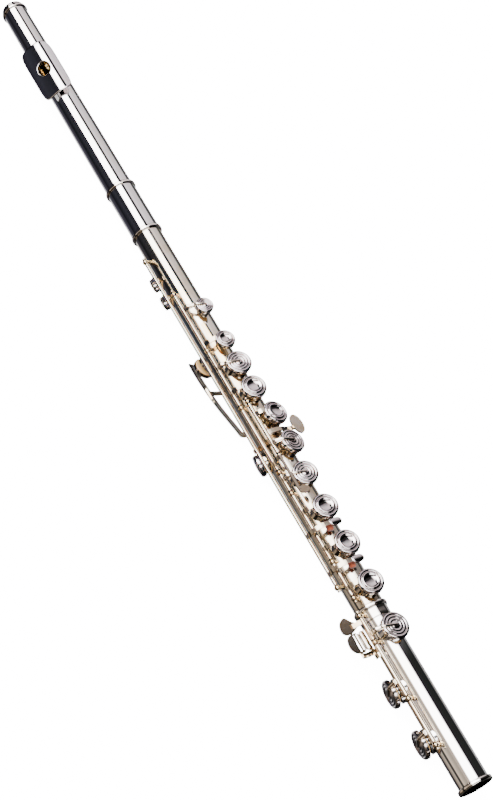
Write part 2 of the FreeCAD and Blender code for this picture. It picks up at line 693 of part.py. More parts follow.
def rod_bore(name, stations, frame):
    """The bore that a row of posts gives to its rod."""
    start = -size(place(max(stations))) - 10
    length = size(place(max(stations))) - size(place(min(stations))) + 20
    reach, angle = size(reach_of(frame.rod_stand)), frame.rod_angle
    return bar(name, "rod_radius + running_gap", length, start, reach, angle)


def build_body_fittings(outside, chimneys):
    """Ribs, posts, rods and springs of the body."""
    ends = [size(place(step)) for step in (max(MAIN_POSTS), min(MAIN_POSTS))]
    main_rib = rib("main_rib", ends[0] + 4, ends[1] - 3, size("rod_angle + 1.5"), chimneys)
    thumb_ends = [size(place(step)) for step in (max(THUMB_POSTS), min(THUMB_POSTS))]
    thumb_rib = rib("thumb_rib", thumb_ends[0] + 3, thumb_ends[1] - 3, size("thumb_rod_angle + 3"), chimneys)
    ribs = node(fuse("body_ribs", [main_rib, thumb_rib]), "body_ribs")
    rows = [
        ("main", MAIN_POSTS, "rod_stand", "rod_angle", MAIN), ("trill", TRILL_POSTS, "trill_stand", "trill_rod_angle", TRILL),
        ("offset", OFFSET_POSTS, "offset_stand", "offset_rod_angle", OFFSET),
        ("thumb", THUMB_POSTS, "thumb_stand", "thumb_rod_angle", THUMB),
    ]
    posts = [item for name, stations, stand, angle, _ in rows for item in post_row(name, stations, stand, angle)]
    bores = [rod_bore(name + "_rod_bore", stations, frame) for name, stations, _, _, frame in rows]
    node(cut("body_posts", fuse("body_posts_whole", posts), bores + [outside, ribs] + chimneys), "body_posts")
    rod("upper_rod", 14.76, 7.35, MAIN, (True, False))
    rod("lower_rod", 7.35, 3.87, MAIN, (False, True))
    rod("thumb_rod", 12.98, 8.87, THUMB)
    needles = []
    for index, step in enumerate(MAIN_POSTS[1:]):
        x = -size(place(step)) + size("post_stem") + 0.05
        needles.append(spring(f"needle_{index}", x, "11", "rod_stand", "rod_angle"))
    for index, step in enumerate(THUMB_POSTS[1:]):
        x = -size(place(step)) + size("post_stem") + 0.05
        needles.append(spring(f"thumb_needle_{index}", x, "11", "thumb_stand", "thumb_rod_angle"))
    node(fuse("body_springs", needles), "body_springs")


def build_foot_fittings(outside, chimneys):
    """Rib, posts, rod and springs of the foot joint."""
    start, end = body_end - size("foot_lap + tenon_gap"), size(place(FOOT_POSTS[0])) - 6
    strip = node(rib("foot_rib", start, end, size("foot_rod_angle"), chimneys), "foot_rib")
    posts = post_row("foot", FOOT_POSTS, "foot_stand", "foot_rod_angle")
    bore = rod_bore("foot_rod_bore", FOOT_POSTS, EFLAT)
    sleeve = bar("foot_sleeve_outside", SLEEVE, foot_top - body_end + 4, -foot_top)
    node(cut("foot_posts", fuse("foot_posts_whole", posts), [bore, outside, strip, sleeve] + chimneys), "foot_posts")
    rod("eflat_rod", 3.51, 2.907, EFLAT, (True, False))
    rod("foot_rod", 2.907, 0.83, FOOT_C, (False, True)).Placement = FOOT_C.rest(size("foot_swing"))
    needles = []
    for index, step in enumerate(FOOT_POSTS[1:]):
        x = -size(place(step)) + size("post_stem") + 0.05
        needles.append(spring(f"foot_needle_{index}", x, "10", "foot_stand", "foot_rod_angle"))
    node(fuse("foot_springs", needles), "foot_springs")


# ---------------------------------------------------------------- keys of the body

def stack_key(name, left, right, swing="open_swing", left_post=True, right_post=True, pointed=False):
    """A key of the main line: hinge tube, arm, cup and pad."""
    frame = HoleFrame(name, "0", "rod_stand", "rod_angle")
    radius = "(main_hole / 2 + cup_margin)"
    label, shift = name + "_key", size("arm_shift")
    arm = (pointed_arm(label + "_arm", frame, radius, SEAT, shift) if pointed
           else plain_arm(label + "_arm", frame, radius, SEAT, -shift))
    parts = [
        cup(label + "_cup", radius, SEAT, finger=not pointed), arm,
        hinge(label + "_hinge", frame, left, right, left_post=left_post, right_post=right_post),
    ]
    finish_key(label, frame, parts, size(swing))
    node(pad(name + "_pad", radius, SEAT), name + "_pad", frame.rest(size(swing)))


def build_c_key():
    """The index finger's key: its round plate, and the small vent cup."""
    frame = HoleFrame("vent", "0", "rod_stand", "rod_angle")
    radius = "(vent_hole / 2 + vent_margin)"
    x = frame.x("index")
    plate = cup("c_key_plate", "index_plate", SEAT, x)
    floor = make("Part::Cylinder", "c_key_floor", Radius="index_plate - 0.2", Height="pad_thickness")
    floor.Placement = Placement(Vector(x, 0, size(cup_low(SEAT))), Rotation())
    parts = [
        cup("c_key_cup", radius, SEAT, finger=False), pointed_arm("c_key_arm", frame, radius, SEAT, 5.0),
        plate, floor, plain_arm("c_key_plate_arm", frame, "index_plate", SEAT, x - size("arm_shift")),
        hinge("c_key_hinge", frame, 14.76, 11.94),
    ]
    finish_key("c_key", frame, parts, size("open_swing"))
    node(pad("c_pad", radius, SEAT), "c_pad", frame.rest(size("open_swing")))


def build_g_keys():
    """The two offset G cups, pinned to one steel, with the G sharp key between them."""
    radius = "(main_hole / 2 + cup_margin)"
    lower = OFFSET.x("g_lower")
    shift = size("arm_shift")
    pointed = pointed_arm("g_key_lower_arm", OFFSET, radius, SEAT, shift)
    pointed.Placement = Placement(Vector(lower, 0, 0), Rotation())
    parts = [
        cup("g_key_upper_cup", radius, SEAT), cup("g_key_lower_cup", radius, SEAT, lower, finger=False),
        plain_arm("g_key_upper_arm", OFFSET, radius, SEAT, -shift), pointed,
        hinge("g_key_upper_hinge", OFFSET, 9.65, 8.83, right_post=False),
        hinge("g_key_lower_hinge", OFFSET, 8.2, 7.75, left_post=False),
    ]
    finish_key("g_key", OFFSET, parts, size("open_swing"))
    pads = [pad("g_upper_pad", radius, SEAT), pad("g_lower_pad", radius, SEAT, lower)]
    node(fuse("g_pads", pads), "g_pads", OFFSET.rest(size("open_swing")))
    rod("g_rod", 9.65, 7.75, OFFSET).Placement = OFFSET.rest(size("open_swing"))


def build_gsharp_key():
    """The G sharp key: a touch beyond the G cups, and a cup on the player's side."""
    frame, radius = GSHARP, "(gsharp_hole / 2 + cup_margin)"
    tube, wide, thick = size(RADIUS), size("arm_width"), size("arm_thickness")
    touch_x, cup_x = frame.x("g_upper", 11.6), frame.x("g_upper", 16.3)
    over = [frame.rod, frame.local(tube + 4.4, 18), frame.local(tube + 3.9, -5), frame.local(tube + 3.9, -30)]
    over += [frame.local(tube + 6.0, -46), frame.here(15.2, 12.0)]
    edge, low = size(radius), size(cup_low(SEAT))
    under = [frame.rod, frame.local(tube + 2.5, 48), frame.local(tube + 2.0, 65)]
    under += [(edge + 0.7, low - 4.0), (edge + 0.15, low - 1.5), (edge + 0.12, low + 1.0)]
    arms = []
    for name, path, x in (("over", over, touch_x), ("under", under, cup_x)):
        solid = ribbon(path, thick, lambda p, low=x - wide / 2: Vector(low, p.x, p.y), Vector(wide, 0, 0))
        arms.append(shape(f"gsharp_key_{name}", solid))
    facing = -6.0 - frame.angle
    touch = leaf(oval(7.4, 4.6), size("touch_thickness"), frame.here(16.9, 12.6), facing, touch_x - 1.2)
    parts = arms + [
        shape("gsharp_key_touch", touch), cup("gsharp_key_cup", radius, SEAT, finger=False),
        hinge("gsharp_key_hinge", frame, 8.83, 8.2, left_post=False, right_post=False),
    ]
    finish_key("gsharp_key", frame, parts)
    node(pad("gsharp_pad", radius, SEAT), "gsharp_pad", frame.rest())


def build_side_lever():
    """The B flat side lever: a flat arm past the F sharp cup, with a small round touch."""
    frame = MAIN
    thick, wide = size("arm_thickness"), size("arm_width")
    start = frame.x("fsharp", -16.5)
    top = frame.local(size(RADIUS) + 11.2, 36.5)
    rise = [frame.rod, (frame.rod[0] - 1.4, frame.rod[1] + 3.6), (frame.rod[0] - 1.0, frame.rod[1] + 7.2), top]
    bracket = ribbon(rise, thick, lambda p: Vector(start, p.x, p.y), Vector(wide, 0, 0))
    end = frame.x("fsharp", 10.6)
    beam = block((start, top[0] - 0.9, top[1] - thick / 2), (end, top[0] + 0.9, top[1] + thick / 2))
    touch = leaf(oval(2.7, 3.9), size("touch_thickness"), (top[0] + 3.3, top[1]), 4.0, end + 0.6)
    parts = [
        shape("side_lever_bracket", bracket), shape("side_lever_beam", beam), shape("side_lever_touch", touch),
        hinge("side_lever_hinge", frame, 9.58, 7.35),
    ]
    finish_key("bflat_side_lever", frame, parts)


def build_trill_key(name, cup_spans, touch_place):
    """A trill key: a small cup on the player's side, a long hinge and a touch between the finger cups."""
    frame = HoleFrame(name, "trill_angle", "trill_stand", "trill_rod_angle")
    radius = "(trill_hole / 2 + trill_margin)"
    label, thick, wide = name + "_key", size("arm_thickness"), size("arm_width")
    tube = size(RADIUS)
    x = frame.x(touch_place)
    path = [frame.rod] + [frame.local(tube + stand, angle) for stand, angle in (
        (8.6, 68), (9.6, 56), (9.5, 41), (8.2, 24), (6.5, 8), (6.1, 0))]
    arm = ribbon(path, thick, lambda p: Vector(x - wide / 2, p.x, p.y), Vector(wide, 0, 0))
    touch = leaf(oval(2.5, 4.8), size("touch_thickness"), frame.local(tube + 6.2, 3), -frame.angle + 4, x)
    small_seat = SMALL_SEAT
    parts = [
        cup(label + "_cup", radius, small_seat, finger=False),
        plain_arm(label + "_cup_arm", frame, radius, small_seat, 0.0),
        shape(label + "_touch_arm", arm), shape(label + "_touch", touch),
    ]
    for index, (left, right, left_post, right_post) in enumerate(cup_spans):
        parts.append(hinge(f"{label}_hinge_{index}", frame, left, right, "trill_hinge", left_post, right_post))
    finish_key(label, frame, parts)
    node(pad(name + "_pad", radius, small_seat), name + "_pad", frame.rest())


def build_thumb_keys():
    """The thumb's B key and the long curved B flat lever beside it."""
    frame, radius = THUMB, "(thumb_hole / 2 + cup_margin)"
    tube, thick, wide = size(RADIUS), size("arm_thickness"), size("arm_width")
    rest = size("thumb_swing")
    plate_x = frame.x("bflat", 1.5)
    path = [frame.rod] + [frame.local(tube + stand, angle) for stand, angle in (
        (5.0, 190), (4.4, 172), (4.4, 152), (5.1, 137), (6.0, 124))]
    arm = ribbon(path, thick, lambda p: Vector(plate_x - wide / 2, p.x, p.y), Vector(wide, 0, 0))
    touch = leaf(oval(8.0, 2.9), size("touch_thickness"), frame.local(tube + 6.5, 121), 121 - frame.angle, plate_x + 2)
    parts = [
        cup("thumb_b_key_cup", radius, SEAT, finger=False),
        plain_arm("thumb_b_key_arm", frame, radius, SEAT, 0.0),
        shape("thumb_b_key_touch_arm", arm), shape("thumb_b_key_touch", touch),
        hinge("thumb_b_key_hinge", frame, 12.98, 10.43),
    ]
    finish_key("thumb_b_key", frame, parts, rest)
    node(pad("thumb_pad", radius, SEAT), "thumb_pad", frame.rest(rest))
    left, right = frame.x("thumb", -7.8), frame.x(8.87, -6.6)
    rise = ((0, 11.2), (0.15, 11.4), (0.34, 10.8), (0.52, 9.8), (0.7, 8.2), (0.85, 6.6), (1, 5.2))
    turn = 152 - frame.angle
    curve = [(left + (right - left) * share, tube + stand) for share, stand in rise]
    lever = ribbon(curve, thick, lambda p: Vector(p.x, 0, p.y), Vector(0, 6, 0))
    lever.Placement = Placement(Vector(0, 0, 0), Rotation(Vector(1, 0, 0), turn)).multiply(
        Placement(Vector(0, -3, 0), Rotation()))
    path = [frame.rod] + [frame.local(tube + stand, angle) for stand, angle in ((4.6, 190), (4.7, 170), (5.5, 154))]
    link = ribbon(path, thick, lambda p: Vector(right - 4, p.x, p.y), Vector(4, 0, 0))
    parts = [
        shape("thumb_bflat_strip", lever), shape("thumb_bflat_link", link),
        hinge("thumb_bflat_hinge", frame, 10.43, 8.87),
    ]
    finish_key("thumb_bflat_lever", frame, parts)


# ---------------------------------------------------------------- keys of the foot

def build_eflat_key():
    """The E flat key and its teardrop touch."""
    frame, radius = EFLAT, "(eflat_hole / 2 + cup_margin)"
    thick, wide = size("arm_thickness"), size("arm_width")
    stem_x = frame.x(3.51, 4.0)
    path = [frame.rod, frame.here(-16.8, 4.6), frame.here(-19.0, 2.9), frame.here(-21.5, 2.0)]
    stem = ribbon(path, thick, lambda p: Vector(stem_x - wide / 2, p.x, p.y), Vector(wide, 0, 0))
    drop = [(0.9, 5.0), (2.8, 2.2), (4.0, -2.6), (2.6, -5.8), (-1.8, -6.2), (-5.8, -4.0), (-7.0, -0.6), (-3.6, 2.3), (-1.2, 4.8)]
    touch = leaf(drop, size("touch_thickness"), frame.here(-22.2, 1.7), 8 - frame.angle, stem_x)
    parts = [
        cup("eflat_key_cup", radius, SEAT, finger=False), pointed_arm("eflat_key_arm", frame, radius, SEAT, 2.6),
        shape("eflat_key_stem", stem), shape("eflat_key_touch", touch), hinge("eflat_key_hinge", frame, 3.51, 2.907),
    ]
    finish_key("eflat_key", frame, parts)
    node(pad("eflat_pad", radius, SEAT), "eflat_pad", frame.rest())


ROLLER_RIGHT = 2.85


def roller_mount(name, frame, at, bridge_to):
    """A pin between two lugs that carries a roller, and the roller itself."""
    length, right = size("roller_length"), frame.x(ROLLER_RIGHT)
    y, z = frame.here(*at)
    pin = bar(name + "_pin", "roller_pin", "roller_length + 2", right - length - 1, (y, z))
    lugs = []
    for x in (right - length - 1.1, right + 0.2):
        path = [frame.here(*at), frame.here(*bridge_to)]
        lugs.append(shape(f"{name}_lug_{len(lugs)}", ribbon(path, 1.6, lambda p, x=x: Vector(x, p.x, p.y), Vector(0.9, 0, 0))))
    outer = bar(name + "_outer", "roller_radius", length, right - length, (y, z))
    inner = bar(name + "_inner", "roller_pin + running_gap", length + 2, right - length - 1, (y, z))
    return [pin] + lugs, cut(name, outer, [inner])


CSHARP_ROLLER = (-18.7, 2.9)
C_ROLLER = (-22.0, 2.2)


def build_foot_keys():
    """The two lowest keys, with their rollers."""
    radius = "(foot_hole / 2 + cup_margin)"
    thick, wide, swing = size("arm_thickness"), size("arm_width"), size("foot_swing")
    length = size("roller_length")

    frame = FOOT_CSHARP
    touch_x = frame.x(2.726, 2.2)
    path = [frame.rod, frame.here(-15.9, 5.3), frame.here(-16.7, 3.2)]
    arm = ribbon(path, thick, lambda p: Vector(touch_x - wide / 2, p.x, p.y), Vector(wide, 0, 0))
    y, z = frame.here(-16.55, 3.0)
    strip = block((frame.x(ROLLER_RIGHT, -length - 1.1), -0.45, -0.9), (touch_x + wide / 2, 0.45, 0.9))
    strip.Placement = Placement(Vector(0, y, z), Rotation(Vector(1, 0, 0), -frame.angle))
    mount, roller = roller_mount("csharp_roller", frame, CSHARP_ROLLER, (-16.55, 3.0))
    parts = mount + [
        cup("foot_csharp_key_cup", radius, SEAT, finger=False),
        pointed_arm("foot_csharp_key_arm", frame, radius, SEAT, size("arm_shift")),
        shape("foot_csharp_key_touch_arm", arm), shape("foot_csharp_key_strip", strip),
        hinge("foot_csharp_key_hinge", frame, 2.726, 1.722, left_post=False),
    ]
    finish_key("foot_csharp_key", frame, parts, swing)
    node(roller, "csharp_roller", frame.rest(swing))
    node(pad("foot_csharp_pad", radius, SEAT), "foot_csharp_pad", frame.rest(swing))

    frame = FOOT_C
    touch_x = frame.x(2.726, -1.9)
    path = [frame.rod, frame.here(-13.5, 2.3), frame.here(-16.6, -0.5), frame.here(-21.2, -1.3), frame.here(-24.6, 0.6)]
    arm = ribbon(path, thick, lambda p: Vector(touch_x - wide / 2, p.x, p.y), Vector(wide, 0, 0))
    moon = [(6.2, 1.7), (5.6, -0.8), (3.0, -3.2), (-1.5, -3.4), (-5.0, -1.7), (-6.2, 1.2), (-5.6, 2.0), (0, 2.1), (5.4, 2.1)]
    middle = frame.x(ROLLER_RIGHT, -length / 2)
    touch = leaf(moon, size("touch_thickness"), frame.here(-26.6, 0.9), 6 - frame.angle, middle)
    mount, roller = roller_mount("c_roller", frame, C_ROLLER, (-25.0, 1.0))
    parts = mount + [
        cup("foot_c_key_cup", radius, SEAT, finger=False),
        pointed_arm("foot_c_key_arm", frame, radius, SEAT, size("arm_shift")),
        shape("foot_c_key_touch_arm", arm), shape("foot_c_key_touch", touch),
        hinge("foot_c_key_left_hinge", frame, 2.907, 2.726, right_post=False),
        hinge("foot_c_key_hinge", frame, 1.722, 0.83),
    ]
    finish_key("foot_c_key", frame, parts, swing)
    node(roller, "c_roller", frame.rest(swing))
    node(pad("foot_c_pad", radius, SEAT), "foot_c_pad", frame.rest(swing))


# ---------------------------------------------------------------- the whole flute

def build():
    """Every sub-part."""
    build_head()
    build_crown_and_stopper()
    build_barrel()
    outside, chimneys = tube_with_holes("body_tube", body_top, body_end, BODY_HOLES)
    build_body_fittings(outside, chimneys)
    build_c_key()
    stack_key("bflat", 11.94, 10.75, right_post=False, pointed=True)
    stack_key("a", 10.75, 9.58, left_post=False)
    build_g_keys()
    build_gsharp_key()
    build_side_lever()
    stack_key("fsharp", 7.35, 6.70, pointed=True)
    stack_key("f", 6.70, 5.3, right_post=False)
    stack_key("e", 5.3, 4.78, left_post=False)
    stack_key("d", 4.78, 3.87)
    build_trill_key("d_trill", [(15.62, 5.03, False, False)], 5.56)
    build_trill_key("dsharp_trill", [(16.98, 15.62, True, False), (5.03, 4.25, False, True)], 4.57)
    rod("trill_rod", 16.98, 4.25, TRILL)
    build_thumb_keys()
    build_foot_socket()
    outside, chimneys = tube_with_holes("foot_tube", body_end - size("tenon_gap"), 0, FOOT_HOLES)
    build_foot_fittings(outside, chimneys)
    build_eflat_key()
    build_foot_keys()


def check_and_write():
    """Stop on any failed object, then write each sub-part's file."""
    doc.recompute()
    failed = [item.Name for item in doc.Objects if "Invalid" in item.State or "Error" in item.State]
    broken = [part.Label for part in nodes if part.Shape.isNull() or not part.Shape.isValid()]
    if failed or broken:
        raise SystemExit(f"failed: {failed} broken: {broken}")
    os.makedirs("parts", exist_ok=True)
    for part in nodes:
        part.Shape.exportStep(f"parts/{part.Label}.step")
    print(len(nodes), "nodes", round(sum(part.Shape.Volume for part in nodes)), "mm3")


build()
check_and_write()
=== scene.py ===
# %% [markdown]
# A concert flute in silver plate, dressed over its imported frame.
# The frame holds every real piece at its true place. This lesson keeps the pieces whose shape is
# already right, gives each a plated, steel, cork or skin finish, and replaces the soft and the
# finely curved ones with surfaces worked out as whole arrays.

import json
import math

import bpy
import numpy as np
from mathutils import Matrix, Vector


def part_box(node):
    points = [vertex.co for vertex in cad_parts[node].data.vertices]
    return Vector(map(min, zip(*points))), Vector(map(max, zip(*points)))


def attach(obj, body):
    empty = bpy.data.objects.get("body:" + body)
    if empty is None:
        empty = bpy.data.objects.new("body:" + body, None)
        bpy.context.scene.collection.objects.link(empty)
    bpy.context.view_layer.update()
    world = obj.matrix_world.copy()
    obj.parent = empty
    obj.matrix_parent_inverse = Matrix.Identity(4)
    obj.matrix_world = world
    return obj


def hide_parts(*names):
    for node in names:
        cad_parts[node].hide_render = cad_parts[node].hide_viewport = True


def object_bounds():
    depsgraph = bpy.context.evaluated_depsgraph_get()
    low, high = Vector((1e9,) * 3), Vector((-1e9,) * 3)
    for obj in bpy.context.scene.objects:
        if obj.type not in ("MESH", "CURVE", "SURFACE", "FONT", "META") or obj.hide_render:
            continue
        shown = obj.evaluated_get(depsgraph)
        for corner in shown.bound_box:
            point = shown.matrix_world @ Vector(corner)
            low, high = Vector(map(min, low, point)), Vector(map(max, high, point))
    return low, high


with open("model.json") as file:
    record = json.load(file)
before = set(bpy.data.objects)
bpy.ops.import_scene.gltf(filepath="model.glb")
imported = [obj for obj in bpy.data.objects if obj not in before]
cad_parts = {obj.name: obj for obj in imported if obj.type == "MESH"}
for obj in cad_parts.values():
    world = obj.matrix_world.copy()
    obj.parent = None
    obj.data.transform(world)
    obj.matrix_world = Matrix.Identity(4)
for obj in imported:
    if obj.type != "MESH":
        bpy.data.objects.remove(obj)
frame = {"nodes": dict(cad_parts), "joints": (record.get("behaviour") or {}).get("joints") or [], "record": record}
cad_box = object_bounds()
nodes, joints = frame["nodes"], {joint["name"]: joint for joint in frame["joints"]}
scene = bpy.context.scene
print(len(nodes), "pieces,", len(joints), "joints, box", cad_box)

# %% [markdown]
# The flute is long and thin, so it is seen from above its foot end, on the player's side, and
# rolled so that it crosses the frame from corner to corner. A camera is aimed by its place, the
# point it looks at, and a roll about that line: three plain values instead of a turned matrix.

# %% Camera
CAMERA_PLACE = Vector((0.15141, -0.59620, 0.76061))
CAMERA_TARGET = Vector((-0.29123, 0.00049, 0.00038))
CAMERA_ROLL = math.radians(-31.246)
LENS = 72.14


def aim(place, target, roll):
    """A turn whose -Z points from place to target, and whose up leans over by roll."""
    ahead = (target - place).normalized()
    right = ahead.cross(Vector((0, 0, 1))).normalized()
    up = right.cross(ahead)
    leant_up = up * math.cos(roll) + right * math.sin(roll)
    leant_right = right * math.cos(roll) - up * math.sin(roll)
    return Matrix((leant_right, leant_up, -ahead)).transposed().to_4x4()


camera = bpy.data.objects.new("camera", bpy.data.cameras.new("camera"))
camera.data.lens = LENS
camera.matrix_world = Matrix.Translation(CAMERA_PLACE) @ aim(CAMERA_PLACE, CAMERA_TARGET, CAMERA_ROLL)
scene.collection.objects.link(camera)
scene.camera = camera
print("camera", round((CAMERA_TARGET - CAMERA_PLACE).length, 3), "m from the bore")

# %% [markdown]
# Polished silver shows nothing but the room round it. A studio gives it long soft panels with
# dark gaps, so a tube is drawn by light and dark bands along its length. The room here is the
# world itself: its brightness is a ramp over the angle round the flute's long axis, one ramp
# towards the head and one towards the foot. A world has no edges to place or aim, and every view
# gets the same room.

# %% Studio room
def node_of(tree, kind, **values):
    """A new node, with its settings by name and its inputs by socket name."""
    node = tree.nodes.new(kind)
    for key, value in values.items():
        if key in node.inputs:
            node.inputs[key].default_value = value
        else:
            setattr(node, key, value)
    return node


def wire(tree, source, target):
    """Joins an output socket to an input socket."""
    tree.links.new(source, target)


def math_node(tree, operation, *inputs):
    """A Math node fed by sockets or plain numbers; gives its output."""
    node = tree.nodes.new("ShaderNodeMath")
    node.operation = operation
    for index, value in enumerate(inputs):
        if isinstance(value, (int, float)):
            node.inputs[index].default_value = value
        else:
            wire(tree, value, node.inputs[index])
    return node.outputs[0]


def ramp_node(tree, factor, stops, interpolation="LINEAR"):
    """A colour ramp from (position, colour) pairs; gives its colour output."""
    node = tree.nodes.new("ShaderNodeValToRGB")
    node.color_ramp.interpolation = interpolation
    elements = node.color_ramp.elements
    while len(elements) < len(stops):
        elements.new(0.5)
    for element, (position, colour) in zip(elements, stops):
        element.position = position
        element.color = (*colour, 1)
    wire(tree, factor, node.inputs[0])
    return node.outputs[0]


PANEL = (1.0, 0.99, 0.97)
ROOM_GAIN, SHEET_LIGHT = 12.0, 14.0
# A Mix node set to colours keeps its two colours and its result at these socket numbers.
MIX_A, MIX_B, MIX_OUT = 6, 7, 2


def tone(level, tint=(1, 1, 1)):
    """A tint at a level of light, as a share of the panels' own."""
    return tuple(level * part for part in tint)


LILAC, NAVY, BEIGE, COLD = (1.0, 0.91, 0.94), (0.92, 0.90, 1.2), (1.0, 0.83, 0.66), (0.97, 0.98, 1.0)
# Angle round the bore, from straight up (0) towards the player's side (+), and what is there.
HEAD_SIDE = [
    (-180, tone(0.10, COLD)), (-120, tone(0.05, COLD)), (-88, tone(0.004)), (-72, tone(0.005)),
    (-66, tone(0.085, LILAC)), (-30, tone(0.10, LILAC)), (-9, tone(0.13, LILAC)), (-5, tone(0.001)),
    (11, tone(0.001)), (15, tone(1.0, PANEL)), (50, tone(1.0, PANEL)), (56, tone(0.0016, NAVY)),
    (90, tone(0.0034, NAVY)), (120, tone(0.0010, NAVY)), (160, tone(0.0080, NAVY)), (178, tone(0.08, COLD)),
]
FOOT_SIDE = [
    (-180, tone(0.012, COLD)), (-120, tone(0.02)), (-100, tone(0.06, COLD)), (-88, tone(0.02)),
    (-82, tone(0.0020)), (-9, tone(0.0020)), (2, tone(1.0, PANEL)), (47, tone(1.0, PANEL)),
    (53, tone(0.085, BEIGE)), (66, tone(0.05, BEIGE)), (80, tone(0.045, BEIGE)), (104, tone(0.085, BEIGE)),
    (109, tone(0.005, BEIGE)), (122, tone(0.004)), (128, tone(0.05, BEIGE)), (150, tone(0.03, BEIGE)),
    (160, tone(0.003)),
]
# Along the bore: rays that leave far towards the head or the foot meet flags and one end panel.
END_FLAGS = [
    (-1.0, tone(0.05)), (-0.80, tone(0.02)), (-0.74, tone(1.0)), (-0.10, tone(1.0)), (-0.02, tone(0.03)),
    (0.26, tone(0.02)), (0.34, tone(0.55)), (0.58, tone(0.45)), (0.66, tone(0.03)), (1.0, tone(0.02)),
]


def build_room():
    """World light: a ramp over atan2(-y, z), blended from head to foot by the direction's x."""
    world = bpy.data.worlds.new("studio_room")
    scene.world = world
    world.use_nodes = True
    tree = world.node_tree
    tree.nodes.clear()
    direction = node_of(tree, "ShaderNodeTexCoord").outputs["Generated"]
    split = node_of(tree, "ShaderNodeSeparateXYZ")
    wire(tree, direction, split.inputs[0])
    back = math_node(tree, "MULTIPLY", split.outputs["Y"], -1.0)
    turn = math_node(tree, "ARCTAN2", back, split.outputs["Z"])
    share = math_node(tree, "MULTIPLY_ADD", turn, 1 / math.tau, 0.5)
    sides = []
    for stops in (HEAD_SIDE, FOOT_SIDE):
        sides.append(ramp_node(tree, share, [((angle + 180) / 360, colour) for angle, colour in stops]))
    along = node_of(tree, "ShaderNodeMapRange", **{"From Min": -0.44, "From Max": -0.24})
    wire(tree, split.outputs["X"], along.inputs["Value"])
    mix = node_of(tree, "ShaderNodeMix", data_type="RGBA")
    wire(tree, along.outputs[0], mix.inputs[0])
    wire(tree, sides[0], mix.inputs[MIX_A])
    wire(tree, sides[1], mix.inputs[MIX_B])
    reach = math_node(tree, "MULTIPLY_ADD", split.outputs["X"], 0.5, 0.5)
    flags = ramp_node(tree, reach, [((along_x + 1) / 2, colour) for along_x, colour in END_FLAGS])
    shaded = node_of(tree, "ShaderNodeMix", data_type="RGBA", blend_type="MULTIPLY")
    shaded.inputs[0].default_value = 1.0
    wire(tree, mix.outputs[MIX_OUT], shaded.inputs[MIX_A])
    wire(tree, flags, shaded.inputs[MIX_B])
    room = node_of(tree, "ShaderNodeBackground", Strength=ROOM_GAIN)
    wire(tree, shaded.outputs[MIX_OUT], room.inputs["Color"])
    backdrop = node_of(tree, "ShaderNodeBackground", Strength=SHEET_LIGHT)
    path = node_of(tree, "ShaderNodeLightPath")
    either = node_of(tree, "ShaderNodeMixShader")
    wire(tree, path.outputs["Is Camera Ray"], either.inputs[0])
    wire(tree, room.outputs[0], either.inputs[1])
    wire(tree, backdrop.outputs[0], either.inputs[2])
    out = node_of(tree, "ShaderNodeOutputWorld")
    wire(tree, either.outputs[0], out.inputs[0])
    print("room with", len(HEAD_SIDE), "+", len(FOOT_SIDE), "bands")


build_room()

# %% [markdown]
# The floor is a plain pale sheet that glows a little, as a lit table does, so the flute's shadow
# stays faint. It is kept out of mirror reflections: in a real studio, dark flags stand there.

# %% Floor
FLOOR_SIZE = 30.0


def build_floor():
    """A square sheet just under the lowest point of the flute."""
    low = cad_box[0][2]
    half = FLOOR_SIZE / 2
    mesh = bpy.data.meshes.new("floor")
    corners = [(-half, -half, low), (half, -half, low), (half, half, low), (-half, half, low)]
    mesh.from_pydata(corners, [], [(0, 1, 2, 3)])
    floor = bpy.data.objects.new("floor", mesh)
    scene.collection.objects.link(floor)
    material = bpy.data.materials.new("floor_sheet")
    material.use_nodes = True
    tree = material.node_tree
    sheet = tree.nodes["Principled BSDF"]
    sheet.inputs["Base Color"].default_value = (0.9, 0.9, 0.9, 1)
    sheet.inputs["Roughness"].default_value = 0.9
    sheet.inputs["Emission Color"].default_value = (1, 1, 1, 1)
    sheet.inputs["Emission Strength"].default_value = SHEET_LIGHT
    mesh.materials.append(material)
    floor.visible_glossy = False
    floor.visible_diffuse = False
    print("floor at", round(low, 4), "m")


build_floor()

# %% Soft panel light
def panel_light(name, place, target, width, height, power):
    """A rectangular soft light that looks at a point."""
    lamp = bpy.data.lights.new(name, "AREA")
    lamp.shape, lamp.size, lamp.size_y, lamp.energy = "RECTANGLE", width, height, power
    light = bpy.data.objects.new(name, lamp)
    light.matrix_world = Matrix.Translation(place) @ aim(Vector(place), Vector(target), 0.0)
    light.visible_glossy = False
    scene.collection.objects.link(light)


panel_light("panel_over", (-0.5, -0.9, 1.5), (-0.33, 0, 0), 1.6, 0.8, 60)
panel_light("panel_far", (-0.2, 1.2, 0.9), (-0.33, 0, 0), 1.4, 0.6, 20)
print("two soft panels")

# %% [markdown]
# Silver plate is bright and hard, but never perfect: wiping leaves fine rub lines, hands leave a
# dull film, and old plate warms a little in patches. Corners and grooves get a painted shade. Each
# effect is a small group of nodes, made once and placed in every plated material with its own
# values. The groups put out only masks and heights.

# %% Shared effect groups
def new_group(name, inputs, outputs):
    """A shader node group with float inputs {name: value} and named outputs."""
    group = bpy.data.node_groups.new(name, "ShaderNodeTree")
    for label, value in inputs.items():
        socket = group.interface.new_socket(label, in_out="INPUT", socket_type="NodeSocketFloat")
        socket.default_value = value
    for label, kind in outputs.items():
        group.interface.new_socket(label, in_out="OUTPUT", socket_type=kind)
    ends = group.nodes.new("NodeGroupInput"), group.nodes.new("NodeGroupOutput")
    return group, ends[0].outputs, ends[1].inputs


